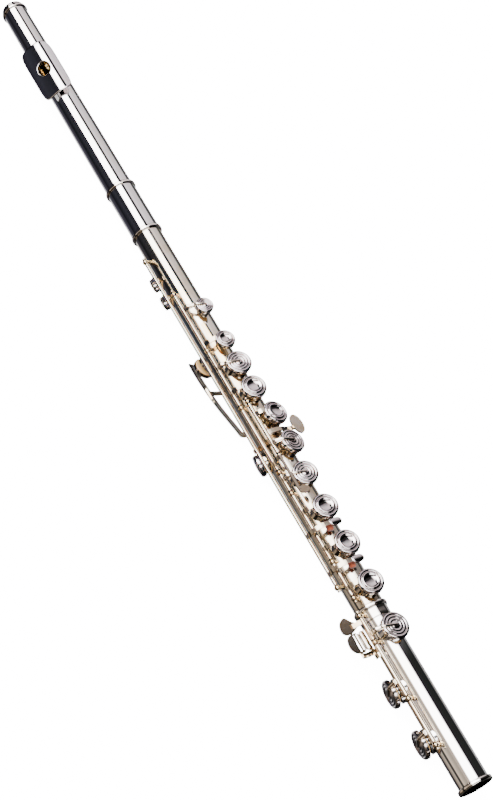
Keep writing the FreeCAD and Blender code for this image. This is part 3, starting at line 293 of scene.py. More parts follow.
def noise_at(tree, scale, stretch=(1, 1, 1), detail=4.0, roughness=0.55):
    """Noise on object coordinates; stretch scales each axis first. Gives its value."""
    coordinates = node_of(tree, "ShaderNodeTexCoord").outputs["Object"]
    mapping = node_of(tree, "ShaderNodeMapping", Scale=stretch)
    wire(tree, coordinates, mapping.inputs["Vector"])
    noise = node_of(tree, "ShaderNodeTexNoise", Detail=detail, Roughness=roughness)
    wire(tree, mapping.outputs[0], noise.inputs["Vector"])
    if isinstance(scale, (int, float)):
        noise.inputs["Scale"].default_value = scale
    else:
        wire(tree, scale, noise.inputs["Scale"])
    return noise.outputs[0]


def steps(tree, value, low, high):
    """A value mapped from low..high to 0..1 with soft ends."""
    node = node_of(tree, "ShaderNodeMapRange", interpolation_type="SMOOTHSTEP")
    node.inputs["From Min"].default_value = low
    node.inputs["From Max"].default_value = high
    wire(tree, value, node.inputs["Value"])
    return node.outputs[0]


def build_rub_lines():
    """Fine lines along the bore from wiping: stretched noise, sharpened to thin ridges."""
    group, given, result = new_group(
        "rub_lines", {"Scale": 900.0}, {"Height": "NodeSocketFloat", "Mask": "NodeSocketFloat"})
    fine = noise_at(group, given["Scale"], stretch=(0.06, 1, 1), detail=3.0)
    wire(group, fine, result["Height"])
    wire(group, steps(group, fine, 0.55, 0.78), result["Mask"])
    return group


def build_hand_film():
    """A dull film from hands: broad soft patches broken up by finer noise."""
    group, given, result = new_group("hand_film", {"Scale": 60.0, "Cover": 0.5}, {"Mask": "NodeSocketFloat"})
    broad = noise_at(group, given["Scale"], detail=5.0, roughness=0.65)
    fine = noise_at(group, 700.0, detail=2.0)
    both = math_node(group, "MULTIPLY_ADD", fine, 0.35, broad)
    edge = math_node(group, "SUBTRACT", 1.15, given["Cover"])
    high = math_node(group, "ADD", edge, 0.22)
    node = node_of(group, "ShaderNodeMapRange", interpolation_type="SMOOTHSTEP")
    wire(group, both, node.inputs["Value"])
    wire(group, edge, node.inputs["From Min"])
    wire(group, high, node.inputs["From Max"])
    wire(group, node.outputs[0], result["Mask"])
    return group


def build_old_silver():
    """Where plate has warmed with age: slow noise, with small specks on top."""
    group, given, result = new_group(
        "old_silver", {"Scale": 35.0}, {"Mask": "NodeSocketFloat", "Specks": "NodeSocketFloat"})
    slow = noise_at(group, given["Scale"], detail=6.0, roughness=0.6)
    wire(group, steps(group, slow, 0.42, 0.72), result["Mask"])
    specks = noise_at(group, 1500.0, detail=1.0)
    wire(group, steps(group, specks, 0.70, 0.80), result["Specks"])
    return group


def build_corner_shade():
    """Painted shade in corners and grooves: one minus open sky within a short distance, broken by noise."""
    group, given, result = new_group(
        "corner_shade", {"Reach": 0.0015, "Power": 1.6}, {"Mask": "NodeSocketFloat"})
    sky = node_of(group, "ShaderNodeAmbientOcclusion", samples=6)
    wire(group, given["Reach"], sky.inputs["Distance"])
    shut = math_node(group, "SUBTRACT", 1.0, sky.outputs["AO"])
    depth = math_node(group, "POWER", shut, given["Power"])
    uneven = math_node(group, "MULTIPLY_ADD", noise_at(group, 420.0, detail=4.0), 0.9, 0.65)
    mask = math_node(group, "MULTIPLY", depth, uneven)
    wire(group, math_node(group, "MINIMUM", mask, 1.0), result["Mask"])
    return group


rub_lines, hand_film, old_silver = build_rub_lines(), build_hand_film(), build_old_silver()
corner_shade = build_corner_shade()
print("groups:", ", ".join(group.name for group in bpy.data.node_groups))

# %% [markdown]
# All plated pieces share one recipe with different values: a bright metal whose colour leans to
# a warmer tone in the aged patches, whose gloss drops under the hand film and the rub lines, and
# whose surface has a very slight unevenness, because a drawn and buffed tube is never a perfect
# mirror. Metallic is 1 and plain, so light and dark come from the room, apart from painted shade:
# the colour darkens towards brown in corners and grooves, and the mechanism's finishes are
# darker, warmer copies of the tube's silver.

# %% Plated finishes
def placed_group(tree, group, **values):
    """A group placed in a material, with its inputs by name."""
    node = tree.nodes.new("ShaderNodeGroup")
    node.node_tree = group
    for label, value in values.items():
        node.inputs[label].default_value = value
    return node.outputs


def mixed(tree, factor, first, second):
    """A colour between two, by a factor."""
    node = node_of(tree, "ShaderNodeMix", data_type="RGBA")
    wire(tree, factor, node.inputs[0])
    for index, colour in ((MIX_A, first), (MIX_B, second)):
        if isinstance(colour, tuple):
            node.inputs[index].default_value = (*colour, 1)
        else:
            wire(tree, colour, node.inputs[index])
    return node.outputs[MIX_OUT]


def bumped(tree, height, strength, distance):
    """A Bump node on a height; gives its normal."""
    node = node_of(tree, "ShaderNodeBump", Strength=strength, Distance=distance)
    wire(tree, height, node.inputs["Height"])
    return node.outputs[0]


def base_material(name, **values):
    """A material with its Principled shader's own sockets set by name."""
    material = bpy.data.materials.new(name)
    material.use_nodes = True
    tree = material.node_tree
    shader = tree.nodes["Principled BSDF"]
    for label, value in values.items():
        shader.inputs[label.replace("_", " ")].default_value = value
    return material, tree, shader.inputs


# Dark brown of the painted shade in corners and grooves.
PAINTED_SHADE = (0.14, 0.075, 0.028)


def plated(name, bright, aged, gloss, dull, film=0.35, patches=35.0, ripple=0.02, lines=900.0, shade_reach=0.0015):
    """A plated finish: bright and aged colours, roughness from gloss to dull, painted shade in corners."""
    material, tree, sockets = base_material(name, Metallic=1.0)
    age = placed_group(tree, old_silver, Scale=patches)
    touch = placed_group(tree, hand_film, Scale=patches * 1.8, Cover=film)
    rubs = placed_group(tree, rub_lines, Scale=lines)
    colour = mixed(tree, age["Mask"], bright, aged)
    speck = tuple(0.55 * part for part in aged)
    colour = mixed(tree, math_node(tree, "MULTIPLY", age["Specks"], 0.35), colour, speck)
    # Painted shade: the colour goes towards dark brown where open sky is short, in corners and grooves.
    corners = placed_group(tree, corner_shade, Reach=shade_reach, Power=1.3)
    wire(tree, mixed(tree, corners["Mask"], colour, PAINTED_SHADE), sockets["Base Color"])
    rough = math_node(tree, "MULTIPLY_ADD", touch["Mask"], dull - gloss, gloss)
    wire(tree, math_node(tree, "MULTIPLY_ADD", rubs["Mask"], 0.05, rough), sockets["Roughness"])
    wave = noise_at(tree, 45.0, stretch=(0.35, 1, 1), detail=1.0)
    both = math_node(tree, "MULTIPLY_ADD", rubs["Height"], 0.03, wave)
    wire(tree, bumped(tree, both, ripple, 0.002), sockets["Normal"])
    return material


# Painted shade: the body, key, cup, arm, post and rod finishes are the same silver plate given darker, warmer
# bright and aged colours than the head's tube, so the light between the mechanism's parts dies away dark and warm.
FINISHES = {
    "tube_silver": plated("tube_silver", (0.95, 0.93, 0.93), (0.91, 0.87, 0.83), 0.03, 0.10, ripple=0.03,
        shade_reach=0.0012),
    "lip_silver": plated("lip_silver", (0.95, 0.93, 0.95), (0.90, 0.85, 0.82), 0.035, 0.13, film=0.4,
        ripple=0.04, shade_reach=0.0008),
    "riser_gold": plated("riser_gold", (0.86, 0.60, 0.27), (0.70, 0.42, 0.16), 0.22, 0.40, patches=120.0,
        shade_reach=0.0001),
    "body_silver_shaded": plated("body_silver_shaded", (0.86, 0.80, 0.70), (0.74, 0.62, 0.44), 0.04, 0.12, film=0.6,
        ripple=0.08, shade_reach=0.007),
    "ring_silver": plated("ring_silver", (0.92, 0.87, 0.83), (0.80, 0.68, 0.54), 0.05, 0.15, ripple=0.02),
    "key_silver": plated("key_silver", (0.66, 0.58, 0.47), (0.54, 0.41, 0.27), 0.05, 0.17, film=0.5,
        patches=80.0, ripple=0.12, shade_reach=0.003),
    "cup_silver_shaded": plated("cup_silver_shaded", (0.80, 0.73, 0.75), (0.72, 0.62, 0.58), 0.045, 0.15, film=0.5,
        patches=110.0, ripple=0.03, shade_reach=0.0022),
    "arm_silver_shaded": plated("arm_silver_shaded", (0.70, 0.62, 0.56), (0.56, 0.44, 0.32), 0.06, 0.18, patches=110.0,
        ripple=0.05, shade_reach=0.0022),
    "post_silver_shaded": plated("post_silver_shaded", (0.76, 0.62, 0.40), (0.58, 0.40, 0.20), 0.06, 0.18, patches=90.0,
        shade_reach=0.003),
    "roller_silver": plated("roller_silver", (0.92, 0.89, 0.87), (0.84, 0.76, 0.68), 0.04, 0.12,
        patches=120.0),
    "rod_steel": plated("rod_steel", (0.70, 0.61, 0.47), (0.52, 0.40, 0.24), 0.10, 0.25, patches=90.0),
    "spring_steel": plated("spring_steel", (0.16, 0.19, 0.28), (0.30, 0.22, 0.16), 0.15, 0.30, patches=200.0),
    "brass": plated("brass", (0.83, 0.62, 0.30), (0.62, 0.42, 0.18), 0.12, 0.30, patches=120.0),
}
print(len(FINISHES), "plated and metal finishes")

# %% [markdown]
# Cork is ground bark: a light brown with darker pores. Pad skin is a thin tan membrane drawn
# over felt, almost parchment, with a soft sheen and faint wrinkles. Felt is matt and red-brown.

# %% Cork, pad skin and felt
def cork_finish():
    """Cork: brown varied by noise, with dark pores from a cell pattern."""
    material, tree, sockets = base_material("cork", Roughness=0.85, Specular_IOR_Level=0.25)
    coordinates = node_of(tree, "ShaderNodeTexCoord").outputs["Object"]
    cells = node_of(tree, "ShaderNodeTexVoronoi", Scale=900.0)
    wire(tree, coordinates, cells.inputs["Vector"])
    pores = steps(tree, cells.outputs["Distance"], 0.10, 0.35)
    grain = noise_at(tree, 260.0, detail=6.0)
    body = mixed(tree, grain, (0.52, 0.33, 0.17), (0.72, 0.52, 0.32))
    wire(tree, mixed(tree, pores, (0.16, 0.09, 0.05), body), sockets["Base Color"])
    wire(tree, bumped(tree, pores, 0.5, 0.0002), sockets["Normal"])
    return material


def pad_finish():
    """Pad skin: warm tan membrane, a little darker and wrinkled in fine noise."""
    material, tree, sockets = base_material(
        "pad_skin", Coat_Weight=0.35, Coat_Roughness=0.25, Sheen_Weight=0.2, Specular_IOR_Level=0.5)
    grain = noise_at(tree, 380.0, detail=6.0, roughness=0.65)
    stain = noise_at(tree, 120.0, detail=3.0)
    body = mixed(tree, grain, (0.72, 0.38, 0.12), (0.88, 0.58, 0.26))
    wire(tree, mixed(tree, steps(tree, stain, 0.5, 0.8), body, (0.50, 0.22, 0.08)), sockets["Base Color"])
    wire(tree, math_node(tree, "MULTIPLY_ADD", grain, 0.25, 0.42), sockets["Roughness"])
    wire(tree, bumped(tree, grain, 0.35, 0.0003), sockets["Normal"])
    return material


def felt_finish():
    """Red-brown felt: matt fibres from fine noise, darker where it is pressed."""
    material, tree, sockets = base_material("felt", Roughness=0.95, Sheen_Weight=0.5, Specular_IOR_Level=0.2)
    fibre = noise_at(tree, 1400.0, detail=6.0, roughness=0.75)
    pressed = noise_at(tree, 300.0, detail=2.0)
    body = mixed(tree, fibre, (0.12, 0.02, 0.008), (0.30, 0.06, 0.02))
    wire(tree, mixed(tree, steps(tree, pressed, 0.5, 0.75), body, (0.20, 0.05, 0.02)), sockets["Base Color"])
    wire(tree, bumped(tree, fibre, 0.6, 0.0002), sockets["Normal"])
    return material


FINISHES["felt"] = felt_finish()
FINISHES["cork"] = cork_finish()
FINISHES["pad_skin"] = pad_finish()
print("soft finishes ready")

# %% Finishes for the pieces that keep their frame shape
FINISH_OF = {
    "body_tube": "body_silver_shaded",
    "crown": "ring_silver", "barrel": "tube_silver", "barrel_rings": "ring_silver",
    "foot_end_ring": "ring_silver", "foot_socket": "tube_silver", "lip_plate": "lip_silver",
    "riser": "riser_gold", "stopper_screw": "brass", "stopper_nut": "brass", "stopper_cork": "cork",
    "csharp_roller": "roller_silver", "c_roller": "roller_silver",
}


def finish_for(name):
    """The finish of a frame piece, from its name's last word."""
    if name in FINISH_OF:
        return FINISH_OF[name]
    last = name.split("_")[-1]
    kinds = {"tube": "tube_silver", "ribs": "post_silver_shaded", "rib": "post_silver_shaded", "posts": "post_silver_shaded",
             "rod": "rod_steel", "springs": "spring_steel", "pad": "pad_skin", "pads": "pad_skin"}
    return kinds.get(last, "key_silver")


for name, piece in nodes.items():
    piece.data.materials.clear()
    piece.data.materials.append(FINISHES[finish_for(name)])
print("finished", len(nodes), "frame pieces")

# %% [markdown]
# Everything turned on a lathe - crown, rings, barrel, foot socket, cups and pads - is a surface
# of revolution. Its profile is a short list of (place, radius) corners; cutting the corners a few
# times rounds them as polishing does. The profile then sweeps round an axis as one whole array.

# %% Helpers for turned surfaces
MM = 0.001
CORNER_CUTS = 2
BORE_TURNS, DISC_TURNS = 128, 96


def rounded(corners, cuts=CORNER_CUTS, closed=False):
    """Corner cutting: each edge keeps the points a quarter and three quarters along it."""
    line = np.array(corners, float)
    for _ in range(cuts):
        after = np.roll(line, -1, axis=0) if closed else line[1:]
        before = line if closed else line[:-1]
        pairs = np.stack([0.75 * before + 0.25 * after, 0.25 * before + 0.75 * after], axis=1)
        cut = pairs.reshape(-1, 2)
        line = cut if closed else np.vstack([line[:1], cut, line[-1:]])
    return line


def grid_faces(rows, columns, wrap_rows=False, wrap_columns=True):
    """Four corners for each cell of a rows x columns grid, joined round where it wraps."""
    row = np.arange(rows if wrap_rows else rows - 1)[:, None]
    column = np.arange(columns if wrap_columns else columns - 1)[None, :]
    next_row, next_column = (row + 1) % rows, (column + 1) % columns
    cells = [row * columns + column, row * columns + next_column,
             next_row * columns + next_column, next_row * columns + column]
    return np.stack(cells, axis=-1).reshape(-1, 4)


def piece_from(name, points, faces, finish, body, slot):
    """A smooth piece from arrays of points (mm) and faces, in a finish, riding on a body."""
    mesh = bpy.data.meshes.new(name)
    mesh.from_pydata((np.asarray(points) * MM).tolist(), [], [list(map(int, face)) for face in faces])
    mesh.validate()
    mesh.update()
    mesh.polygons.foreach_set("use_smooth", [True] * len(mesh.polygons))
    mesh.materials.append(FINISHES[finish])
    piece = bpy.data.objects.new(name, mesh)
    scene.collection.objects.link(piece)
    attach(piece, body)
    return piece


def face_out(piece):
    """Turns a closed piece's faces outwards: its signed volume has to be positive."""
    mesh = piece.data
    mesh.calc_loop_triangles()
    points = np.zeros(len(mesh.vertices) * 3)
    mesh.vertices.foreach_get("co", points)
    corners = np.zeros(len(mesh.loop_triangles) * 3, np.int32)
    mesh.loop_triangles.foreach_get("vertices", corners)
    a, b, c = points.reshape(-1, 3)[corners].reshape(-1, 3, 3).transpose(1, 0, 2)
    volume = np.einsum("ij,ij->", a, np.cross(b, c)) / 6
    if volume < 0:
        mesh.flip_normals()
    return abs(volume) / MM ** 3


def ring_of(profile, turns=BORE_TURNS):
    """A closed (x, radius) profile swept round the bore: points (x, r cos t, r sin t)."""
    turn = np.linspace(0, math.tau, turns, endpoint=False)
    x, r = profile[:, :1], profile[:, 1:]
    return np.stack([x + 0 * turn, r * np.cos(turn), r * np.sin(turn)], axis=-1).reshape(-1, 3)


def turned_piece(name, corners, finish, body, slot, cuts=CORNER_CUTS):
    """A closed ring or sleeve round the bore, from its profile's corners."""
    profile = rounded(corners, cuts, closed=True)
    faces = grid_faces(len(profile), BORE_TURNS, wrap_rows=True)
    piece = piece_from(name, ring_of(profile), faces, finish, body, slot)
    print(f"{name}: {face_out(piece):.0f} mm3")
    return piece


# %% [markdown]
# The rings are drawn and soldered bands: a low rounded bead with a fine step on each side. The
# barrel is a plain sleeve between two of them, and the crown is a turned cap with a beaded rim
# and a domed end. Their places come from the frame's own boxes.

# %% Rings, barrel, socket and crown
TUBE, SLEEVE, RING = 9.92, 10.40, 11.40
SKIN = 0.04


def ring_corners(low, high, inner, outer=RING):
    """Profile of a beaded ring: a step, a flank, and a crown that is a little domed."""
    width = high - low
    return [
        (low, inner), (low, outer - 0.55), (low + 0.16, outer - 0.36), (low + 0.30, outer - 0.05),
        (low + 0.38 * width, outer + SKIN), (high - 0.38 * width, outer + SKIN), (high - 0.30, outer - 0.05),
        (high - 0.16, outer - 0.36), (high, outer - 0.55), (high, inner),
    ]


def span(node):
    """Lowest and highest x of a frame piece, in mm."""
    low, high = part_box(node)
    return low[0] / MM, high[0] / MM


RING_WIDTH = 2.8
barrel_low, barrel_high = span("barrel_rings")
for label, low in (("upper", barrel_low), ("lower", barrel_high - RING_WIDTH)):
    ring = turned_piece(f"barrel_ring_{label}_band", ring_corners(low, low + RING_WIDTH, TUBE + 0.05),
                        "ring_silver", "body", "tube_silver")
    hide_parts("barrel_rings")
end_low, end_high = span("foot_end_ring")
end_corners = ring_corners(end_low, end_high, TUBE - SKIN)
end_ring = turned_piece("foot_end_band", end_corners, "ring_silver", "foot_joint", "tube_silver")
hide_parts("foot_end_ring")
socket_low, socket_high = span("foot_socket")
socket = turned_piece("foot_socket_sleeve", [
    (socket_low, TUBE + 0.03), (socket_low, RING - 0.5), (socket_low + 0.35, RING),
    (socket_low + RING_WIDTH - 0.35, RING), (socket_low + RING_WIDTH, RING - 0.5),
    (socket_low + RING_WIDTH + 0.1, SLEEVE + 0.02), (socket_high - 0.2, SLEEVE + 0.02),
    (socket_high, TUBE + 0.3), (socket_high, TUBE + 0.03)],
    "ring_silver", "foot_joint", "tube_silver")
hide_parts("foot_socket")

CROWN_EDGE = 8.97
crown_low, crown_high = span("crown")
seam = crown_high - 8.0
crown_corners = [
    (seam + 6, 7.5), (seam + 6, 8.4), (seam - 0.05, 8.45), (seam - 0.05, CROWN_EDGE + 0.5),
    (seam - 0.45, CROWN_EDGE + 0.95), (seam - 1.0, CROWN_EDGE + 1.0), (seam - 2.2, CROWN_EDGE + 0.95),
    (seam - 2.7, CROWN_EDGE + 0.45), (seam - 3.0, CROWN_EDGE - 0.15), (crown_low + 2.0, CROWN_EDGE - 0.2),
    (crown_low + 0.6, CROWN_EDGE - 1.1), (crown_low + 0.1, CROWN_EDGE - 3.6), (crown_low, 2.0),
    (crown_low, 0.02), (crown_low + 1.2, 0.02), (crown_low + 1.3, 7.5),
]
crown = turned_piece("crown_cap", crown_corners, "ring_silver", "crown", "tube_silver", cuts=2)
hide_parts("crown")

# %% [markdown]
# A pad is a felt disc under a drawn skin. Its rim bulges, and the tone hole's edge has pressed a
# shallow ring into its face. Each pad's centre, axis and size are measured from the frame's disc:
# the flat faces share one normal, which is the axis.

# %% Pads
FLAT_X, SAME_AXIS, PAIR_GAP = 0.02, 0.999, 6


def discs_of(node):
    """Each round disc in a frame piece, as its face's centre, axis off the tube, radius, thickness."""
    mesh = nodes[node].data
    points = np.zeros(len(mesh.vertices) * 3)
    mesh.vertices.foreach_get("co", points)
    points = points.reshape(-1, 3) / MM
    normals = np.zeros(len(mesh.polygons) * 3)
    mesh.polygons.foreach_get("normal", normals)
    areas = np.zeros(len(mesh.polygons))
    mesh.polygons.foreach_get("area", areas)
    normals = normals.reshape(-1, 3)
    flat = np.abs(normals[:, 0]) < FLAT_X
    best = normals[flat][np.argmax(areas[flat])]
    same = np.abs(normals @ best) > SAME_AXIS
    axis = (normals[same] * np.sign(normals[same] @ best)[:, None] * areas[same][:, None]).sum(0)
    axis /= np.linalg.norm(axis)
    centre = points.mean(0)
    if axis @ (centre * (0, 1, 1)) < 0:
        axis = -axis
    order = np.sort(points[:, 0])
    gap = int(np.argmax(np.diff(order)))
    parts = [points]
    if order[gap + 1] - order[gap] > PAIR_GAP:
        cut = (order[gap] + order[gap + 1]) / 2
        parts = [points[points[:, 0] < cut], points[points[:, 0] >= cut]]
    found = []
    for part in parts:
        height = part @ axis
        middle = (part.max(0) + part.min(0)) / 2
        middle = middle + axis * (height.min() - middle @ axis)
        found.append((middle, axis, (part[:, 0].max() - part[:, 0].min()) / 2, height.max() - height.min()))
    return found


def lathe(profile, centre, axis, turns=DISC_TURNS):
    """(radius, height) profile swept round an axis: centre + h axis + r (x cos t + side sin t)."""
    turn = np.linspace(0, math.tau, turns, endpoint=False)[None, :, None]
    along = np.array((1.0, 0, 0))
    side = np.cross(axis, along)
    r, h = profile[:, :1, None], profile[:, 1:, None]
    points = centre + h * axis + r * (np.cos(turn) * along + np.sin(turn) * side)
    return points.reshape(-1, 3)


def stacked(parts):
    """Several (points, faces) arrays as one."""
    points, faces, start = [], [], 0
    for some, cells in parts:
        points.append(some)
        faces.append(cells + start)
        start += len(some)
    return np.vstack(points), np.vstack(faces)


SEAT_EDGE = 1.35


def pad_profile(radius, thick):
    """Profile of a pad: face with a pressed ring, bulging rim, flat back inside the cup."""
    ring = radius - SEAT_EDGE
    return rounded([
        (0.01, 0.03), (ring * 0.5, 0.02), (ring - 0.55, 0.03), (ring - 0.15, 0.15), (ring + 0.15, 0.15),
        (ring + 0.5, 0.0), (radius - 0.3, -0.04), (radius - 0.02, 0.18), (radius, 0.7),
        (radius - 0.02, thick - 0.2), (radius - 0.2, thick), (radius * 0.5, thick), (0.01, thick)], cuts=2)


BODY_OF = {node: body for body, group in frame["record"]["behaviour"]["bodies"].items() for node in group}
pad_discs = {}
for name in [name for name in nodes if name.endswith(("_pad", "_pads"))]:
    pad_discs[name] = discs_of(name)
    parts = []
    for centre, axis, radius, thick in pad_discs[name]:
        profile = pad_profile(radius, thick)
        parts.append((lathe(profile, centre, axis), grid_faces(len(profile), DISC_TURNS)))
    soft = piece_from(name + "_skin", *stacked(parts), "pad_skin", BODY_OF[name], "pad_skin")
    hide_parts(name)
    print(name, "radius", round(pad_discs[name][0][2], 2), "mm,", round(face_out(soft)), "mm3")

# %% [markdown]
# The cups are what the eye counts. A finger cup has a round rim, a groove, an inner ring and a
# shallow dish for the fingertip; a pointed-arm cup has ring after ring round a small boss. They
# are lathe work too: a thin crown, closed underneath, set over the frame's plainer cup.

# %% Cup crowns
CUP_WALL, CUP_RISE, SKIRT = 0.62, 3.2, 2.55
FINGER_RINGS = [
    (1.004, -0.9), (0.992, -0.3), (0.955, 0.30), (0.90, 0.66), (0.84, 0.72), (0.795, 0.62),
    (0.765, 0.38), (0.735, 0.30), (0.70, 0.40), (0.675, 0.74), (0.63, 1.02), (0.575, 1.06),
    (0.535, 0.92), (0.50, 0.70), (0.44, 0.46), (0.36, 0.27), (0.26, 0.13), (0.14, 0.05),
    (0.001, 0.03),
]
POINTED_RINGS = [
    (1.004, -0.9), (0.99, -0.35), (0.95, 0.06), (0.89, 0.30), (0.83, 0.32), (0.785, 0.20),
    (0.755, 0.02), (0.715, 0.02), (0.68, 0.20), (0.63, 0.30), (0.57, 0.24), (0.535, 0.02),
    (0.50, 0.02), (0.46, 0.18), (0.41, 0.26), (0.35, 0.20), (0.315, 0.02), (0.28, 0.02),
    (0.24, 0.16), (0.16, 0.30), (0.08, 0.36), (0.001, 0.37),
]


def crown_profile(radius, rings):
    """Rings over a closed underside: the skirt's outside, the top, and back inside the metal."""
    top = [(share * radius, height) for share, height in rings]
    inner, outer = radius * 0.975, radius * 1.0045
    outside = [(0.001, -0.3), (inner, -0.3), (inner, -SKIRT), (outer, -SKIRT), (outer, -1.2)]
    return rounded(outside + top, cuts=2)


POINTED = {"c_pad", "bflat_pad", "fsharp_pad", "eflat_pad", "foot_csharp_pad", "foot_c_pad"}
INDEX_PLATE, INDEX_SHIFT = 6.9, 29.85


def cup_crown(name, centre, axis, radius, rings, body):
    """One crown over a cup whose pad's face is at centre."""
    profile = crown_profile(radius, rings)
    points = lathe(profile, centre + axis * CUP_RISE, axis)
    piece = piece_from(name, points, grid_faces(len(profile), DISC_TURNS), "cup_silver_shaded", body, "key_silver")
    print(f"{name}: {face_out(piece):.0f} mm3")


for name, discs in pad_discs.items():
    for index, (centre, axis, radius, thick) in enumerate(discs):
        pointed = name in POINTED or (name == "g_pads" and index == 1)
        cup_crown(f"{name}_crown_{index}", centre, axis, radius + CUP_WALL,
                  POINTED_RINGS if pointed else FINGER_RINGS, BODY_OF[name])

index_centre = pad_discs["c_pad"][0][0] + (INDEX_SHIFT, 0, 0)
cup_crown("index_plate_crown", index_centre, pad_discs["c_pad"][0][1], INDEX_PLATE, FINGER_RINGS, "c_key")

# %% [markdown]
# A pointed arm grows out of the hinge tube, climbs the side of its cup and narrows to a point
# over the middle. It is a bar carried along a smooth path, wide and flat at the root, slim at the
# tip: a rounded cross-section whose size falls along the way.

# %% Pointed arms
def smooth_path(points, count=48):
    """A smooth line through points: Catmull-Rom pieces, as one array."""
    knots = np.array(points, float)
    ends = np.vstack([2 * knots[:1] - knots[1:2], knots, 2 * knots[-1:] - knots[-2:-1]])
    where = np.linspace(0, len(knots) - 1, count)
    piece = np.minimum(where.astype(int), len(knots) - 2)
    u = (where - piece)[:, None]
    a, b, c, d = (ends[piece + step] for step in range(4))
    straight = 2 * b + (c - a) * u
    bend = (2 * a - 5 * b + 4 * c - d) * u ** 2 + (3 * b - a - 3 * c + d) * u ** 3
    return 0.5 * (straight + bend)


BAR_SIDES = 16
BAR_SQUARENESS = 0.6
# Half width and half height of an arm, at its root and at its tip.
ARM_WIDE, ARM_HIGH = (1.6, 0.55), (0.70, 0.54)


def swept_bar(path, across, half_widths, half_heights):
    """A bar along a path: each ring is path + w cos^p across + h sin^p up, closed at both ends."""
    across = np.asarray(across, float)
    ahead = np.gradient(path, axis=0)
    up = np.cross(across, ahead)
    up /= np.linalg.norm(up, axis=1, keepdims=True)
    turn = np.linspace(0, math.tau, BAR_SIDES, endpoint=False)
    wide = np.sign(np.cos(turn)) * np.abs(np.cos(turn)) ** BAR_SQUARENESS
    high = np.sign(np.sin(turn)) * np.abs(np.sin(turn)) ** BAR_SQUARENESS
    rings = (path[:, None] + (half_widths[:, None] * wide)[..., None] * across
             + (half_heights[:, None] * high)[..., None] * up[:, None])
    faces = grid_faces(len(path), BAR_SIDES).tolist()
    last = (len(path) - 1) * BAR_SIDES
    faces += [list(range(BAR_SIDES))[::-1], list(range(last, last + BAR_SIDES))]
    return rings.reshape(-1, 3), faces


def pointed_arm(name, centre, axis, radius, rod, shift, body):
    """The arm over one cup: from its rod, up the cup's side, to the boss in the middle."""
    side = np.cross(axis, (1.0, 0, 0))
    to_rod = (rod - centre) * (0, 1, 1)
    side = side * np.sign(side @ to_rod)
    out, low, top = to_rod @ side, to_rod @ axis, CUP_RISE
    stations = [(out - 0.6, low + 1.6), ((out + radius + 3.6) / 2, 0.2), (radius + 1.1, 2.3),
                (radius - 0.9, top + 0.72), (radius * 0.5, top + 1.05), (-0.4, top + 0.75)]
    shares = np.clip([1 - max(reach, 0) / max(out, 1) for reach, height in stations], 0, 1)
    points = [centre + side * reach + axis * height + np.array((-shift * (1 - share), 0, 0))
              for (reach, height), share in zip(stations, shares)]
    path = smooth_path(points)
    along = np.linspace(0, 1, len(path))
    half_widths, half_heights = (root - (root - tip) * along for root, tip in (ARM_WIDE, ARM_HIGH))
    points, faces = swept_bar(path, (1.0, 0, 0), half_widths, half_heights)
    face_out(piece_from(name, points, faces, "arm_silver_shaded", body, "key_silver"))


HINGE_OF = {joint["child"]: np.array(joint["pos_m"]) / MM for joint in frame["joints"] if "pos_m" in joint}
ARM_SHIFT, USUAL_SHIFT = {"c_pad": 5.0, "eflat_pad": 2.6}, 3.0
for name, discs in pad_discs.items():
    index = 1 if name == "g_pads" else 0
    if name in POINTED or name == "g_pads":
        centre, axis, radius, thick = discs[index]
        body = BODY_OF[name]
        shift = ARM_SHIFT.get(name, USUAL_SHIFT)
        pointed_arm(name + "_arm", centre, axis, radius + CUP_WALL, HINGE_OF[body], shift, body)
print(len(POINTED) + 1, "pointed arms")

# %% [markdown]
# The lip plate is a thin sheet formed over a curve: level in the middle, falling away faster on
# the far side than on the player's side, with soft square corners and an oval hole. On a grid of
# loops, each loop is a blend between the hole's oval and the plate's outline.

# %% Lip plate
EMBOUCHURE_X, EMBOUCHURE_TURN = -599.4, math.radians(48.8)
PLATE_HALF, PLATE_SQUARENESS = (24.6, 11.8), 6.5
HOLE_HALF = (6.1, 5.2)
PLATE_TOP, PLATE_THICK = 13.45, 0.9
PLATE_LOOPS, PLATE_COLUMNS = 44, 192
FAR_FLAT, FAR_CURVE, NEAR_FLAT, NEAR_CURVE = 1.8, 11.0, 1.4, 34.0


def plate_height(x, y):
    """Middle of the sheet: a circle's fall beyond each edge of the level strip, and drooped ends."""
    far = np.clip(y - FAR_FLAT, 0, None)
    near = np.clip(NEAR_FLAT - y, 0, None)
    fall = FAR_CURVE - np.sqrt(FAR_CURVE ** 2 - far ** 2) + NEAR_CURVE - np.sqrt(NEAR_CURVE ** 2 - near ** 2)
    return PLATE_TOP - fall - 0.7 * np.abs(x / PLATE_HALF[0]) ** 4


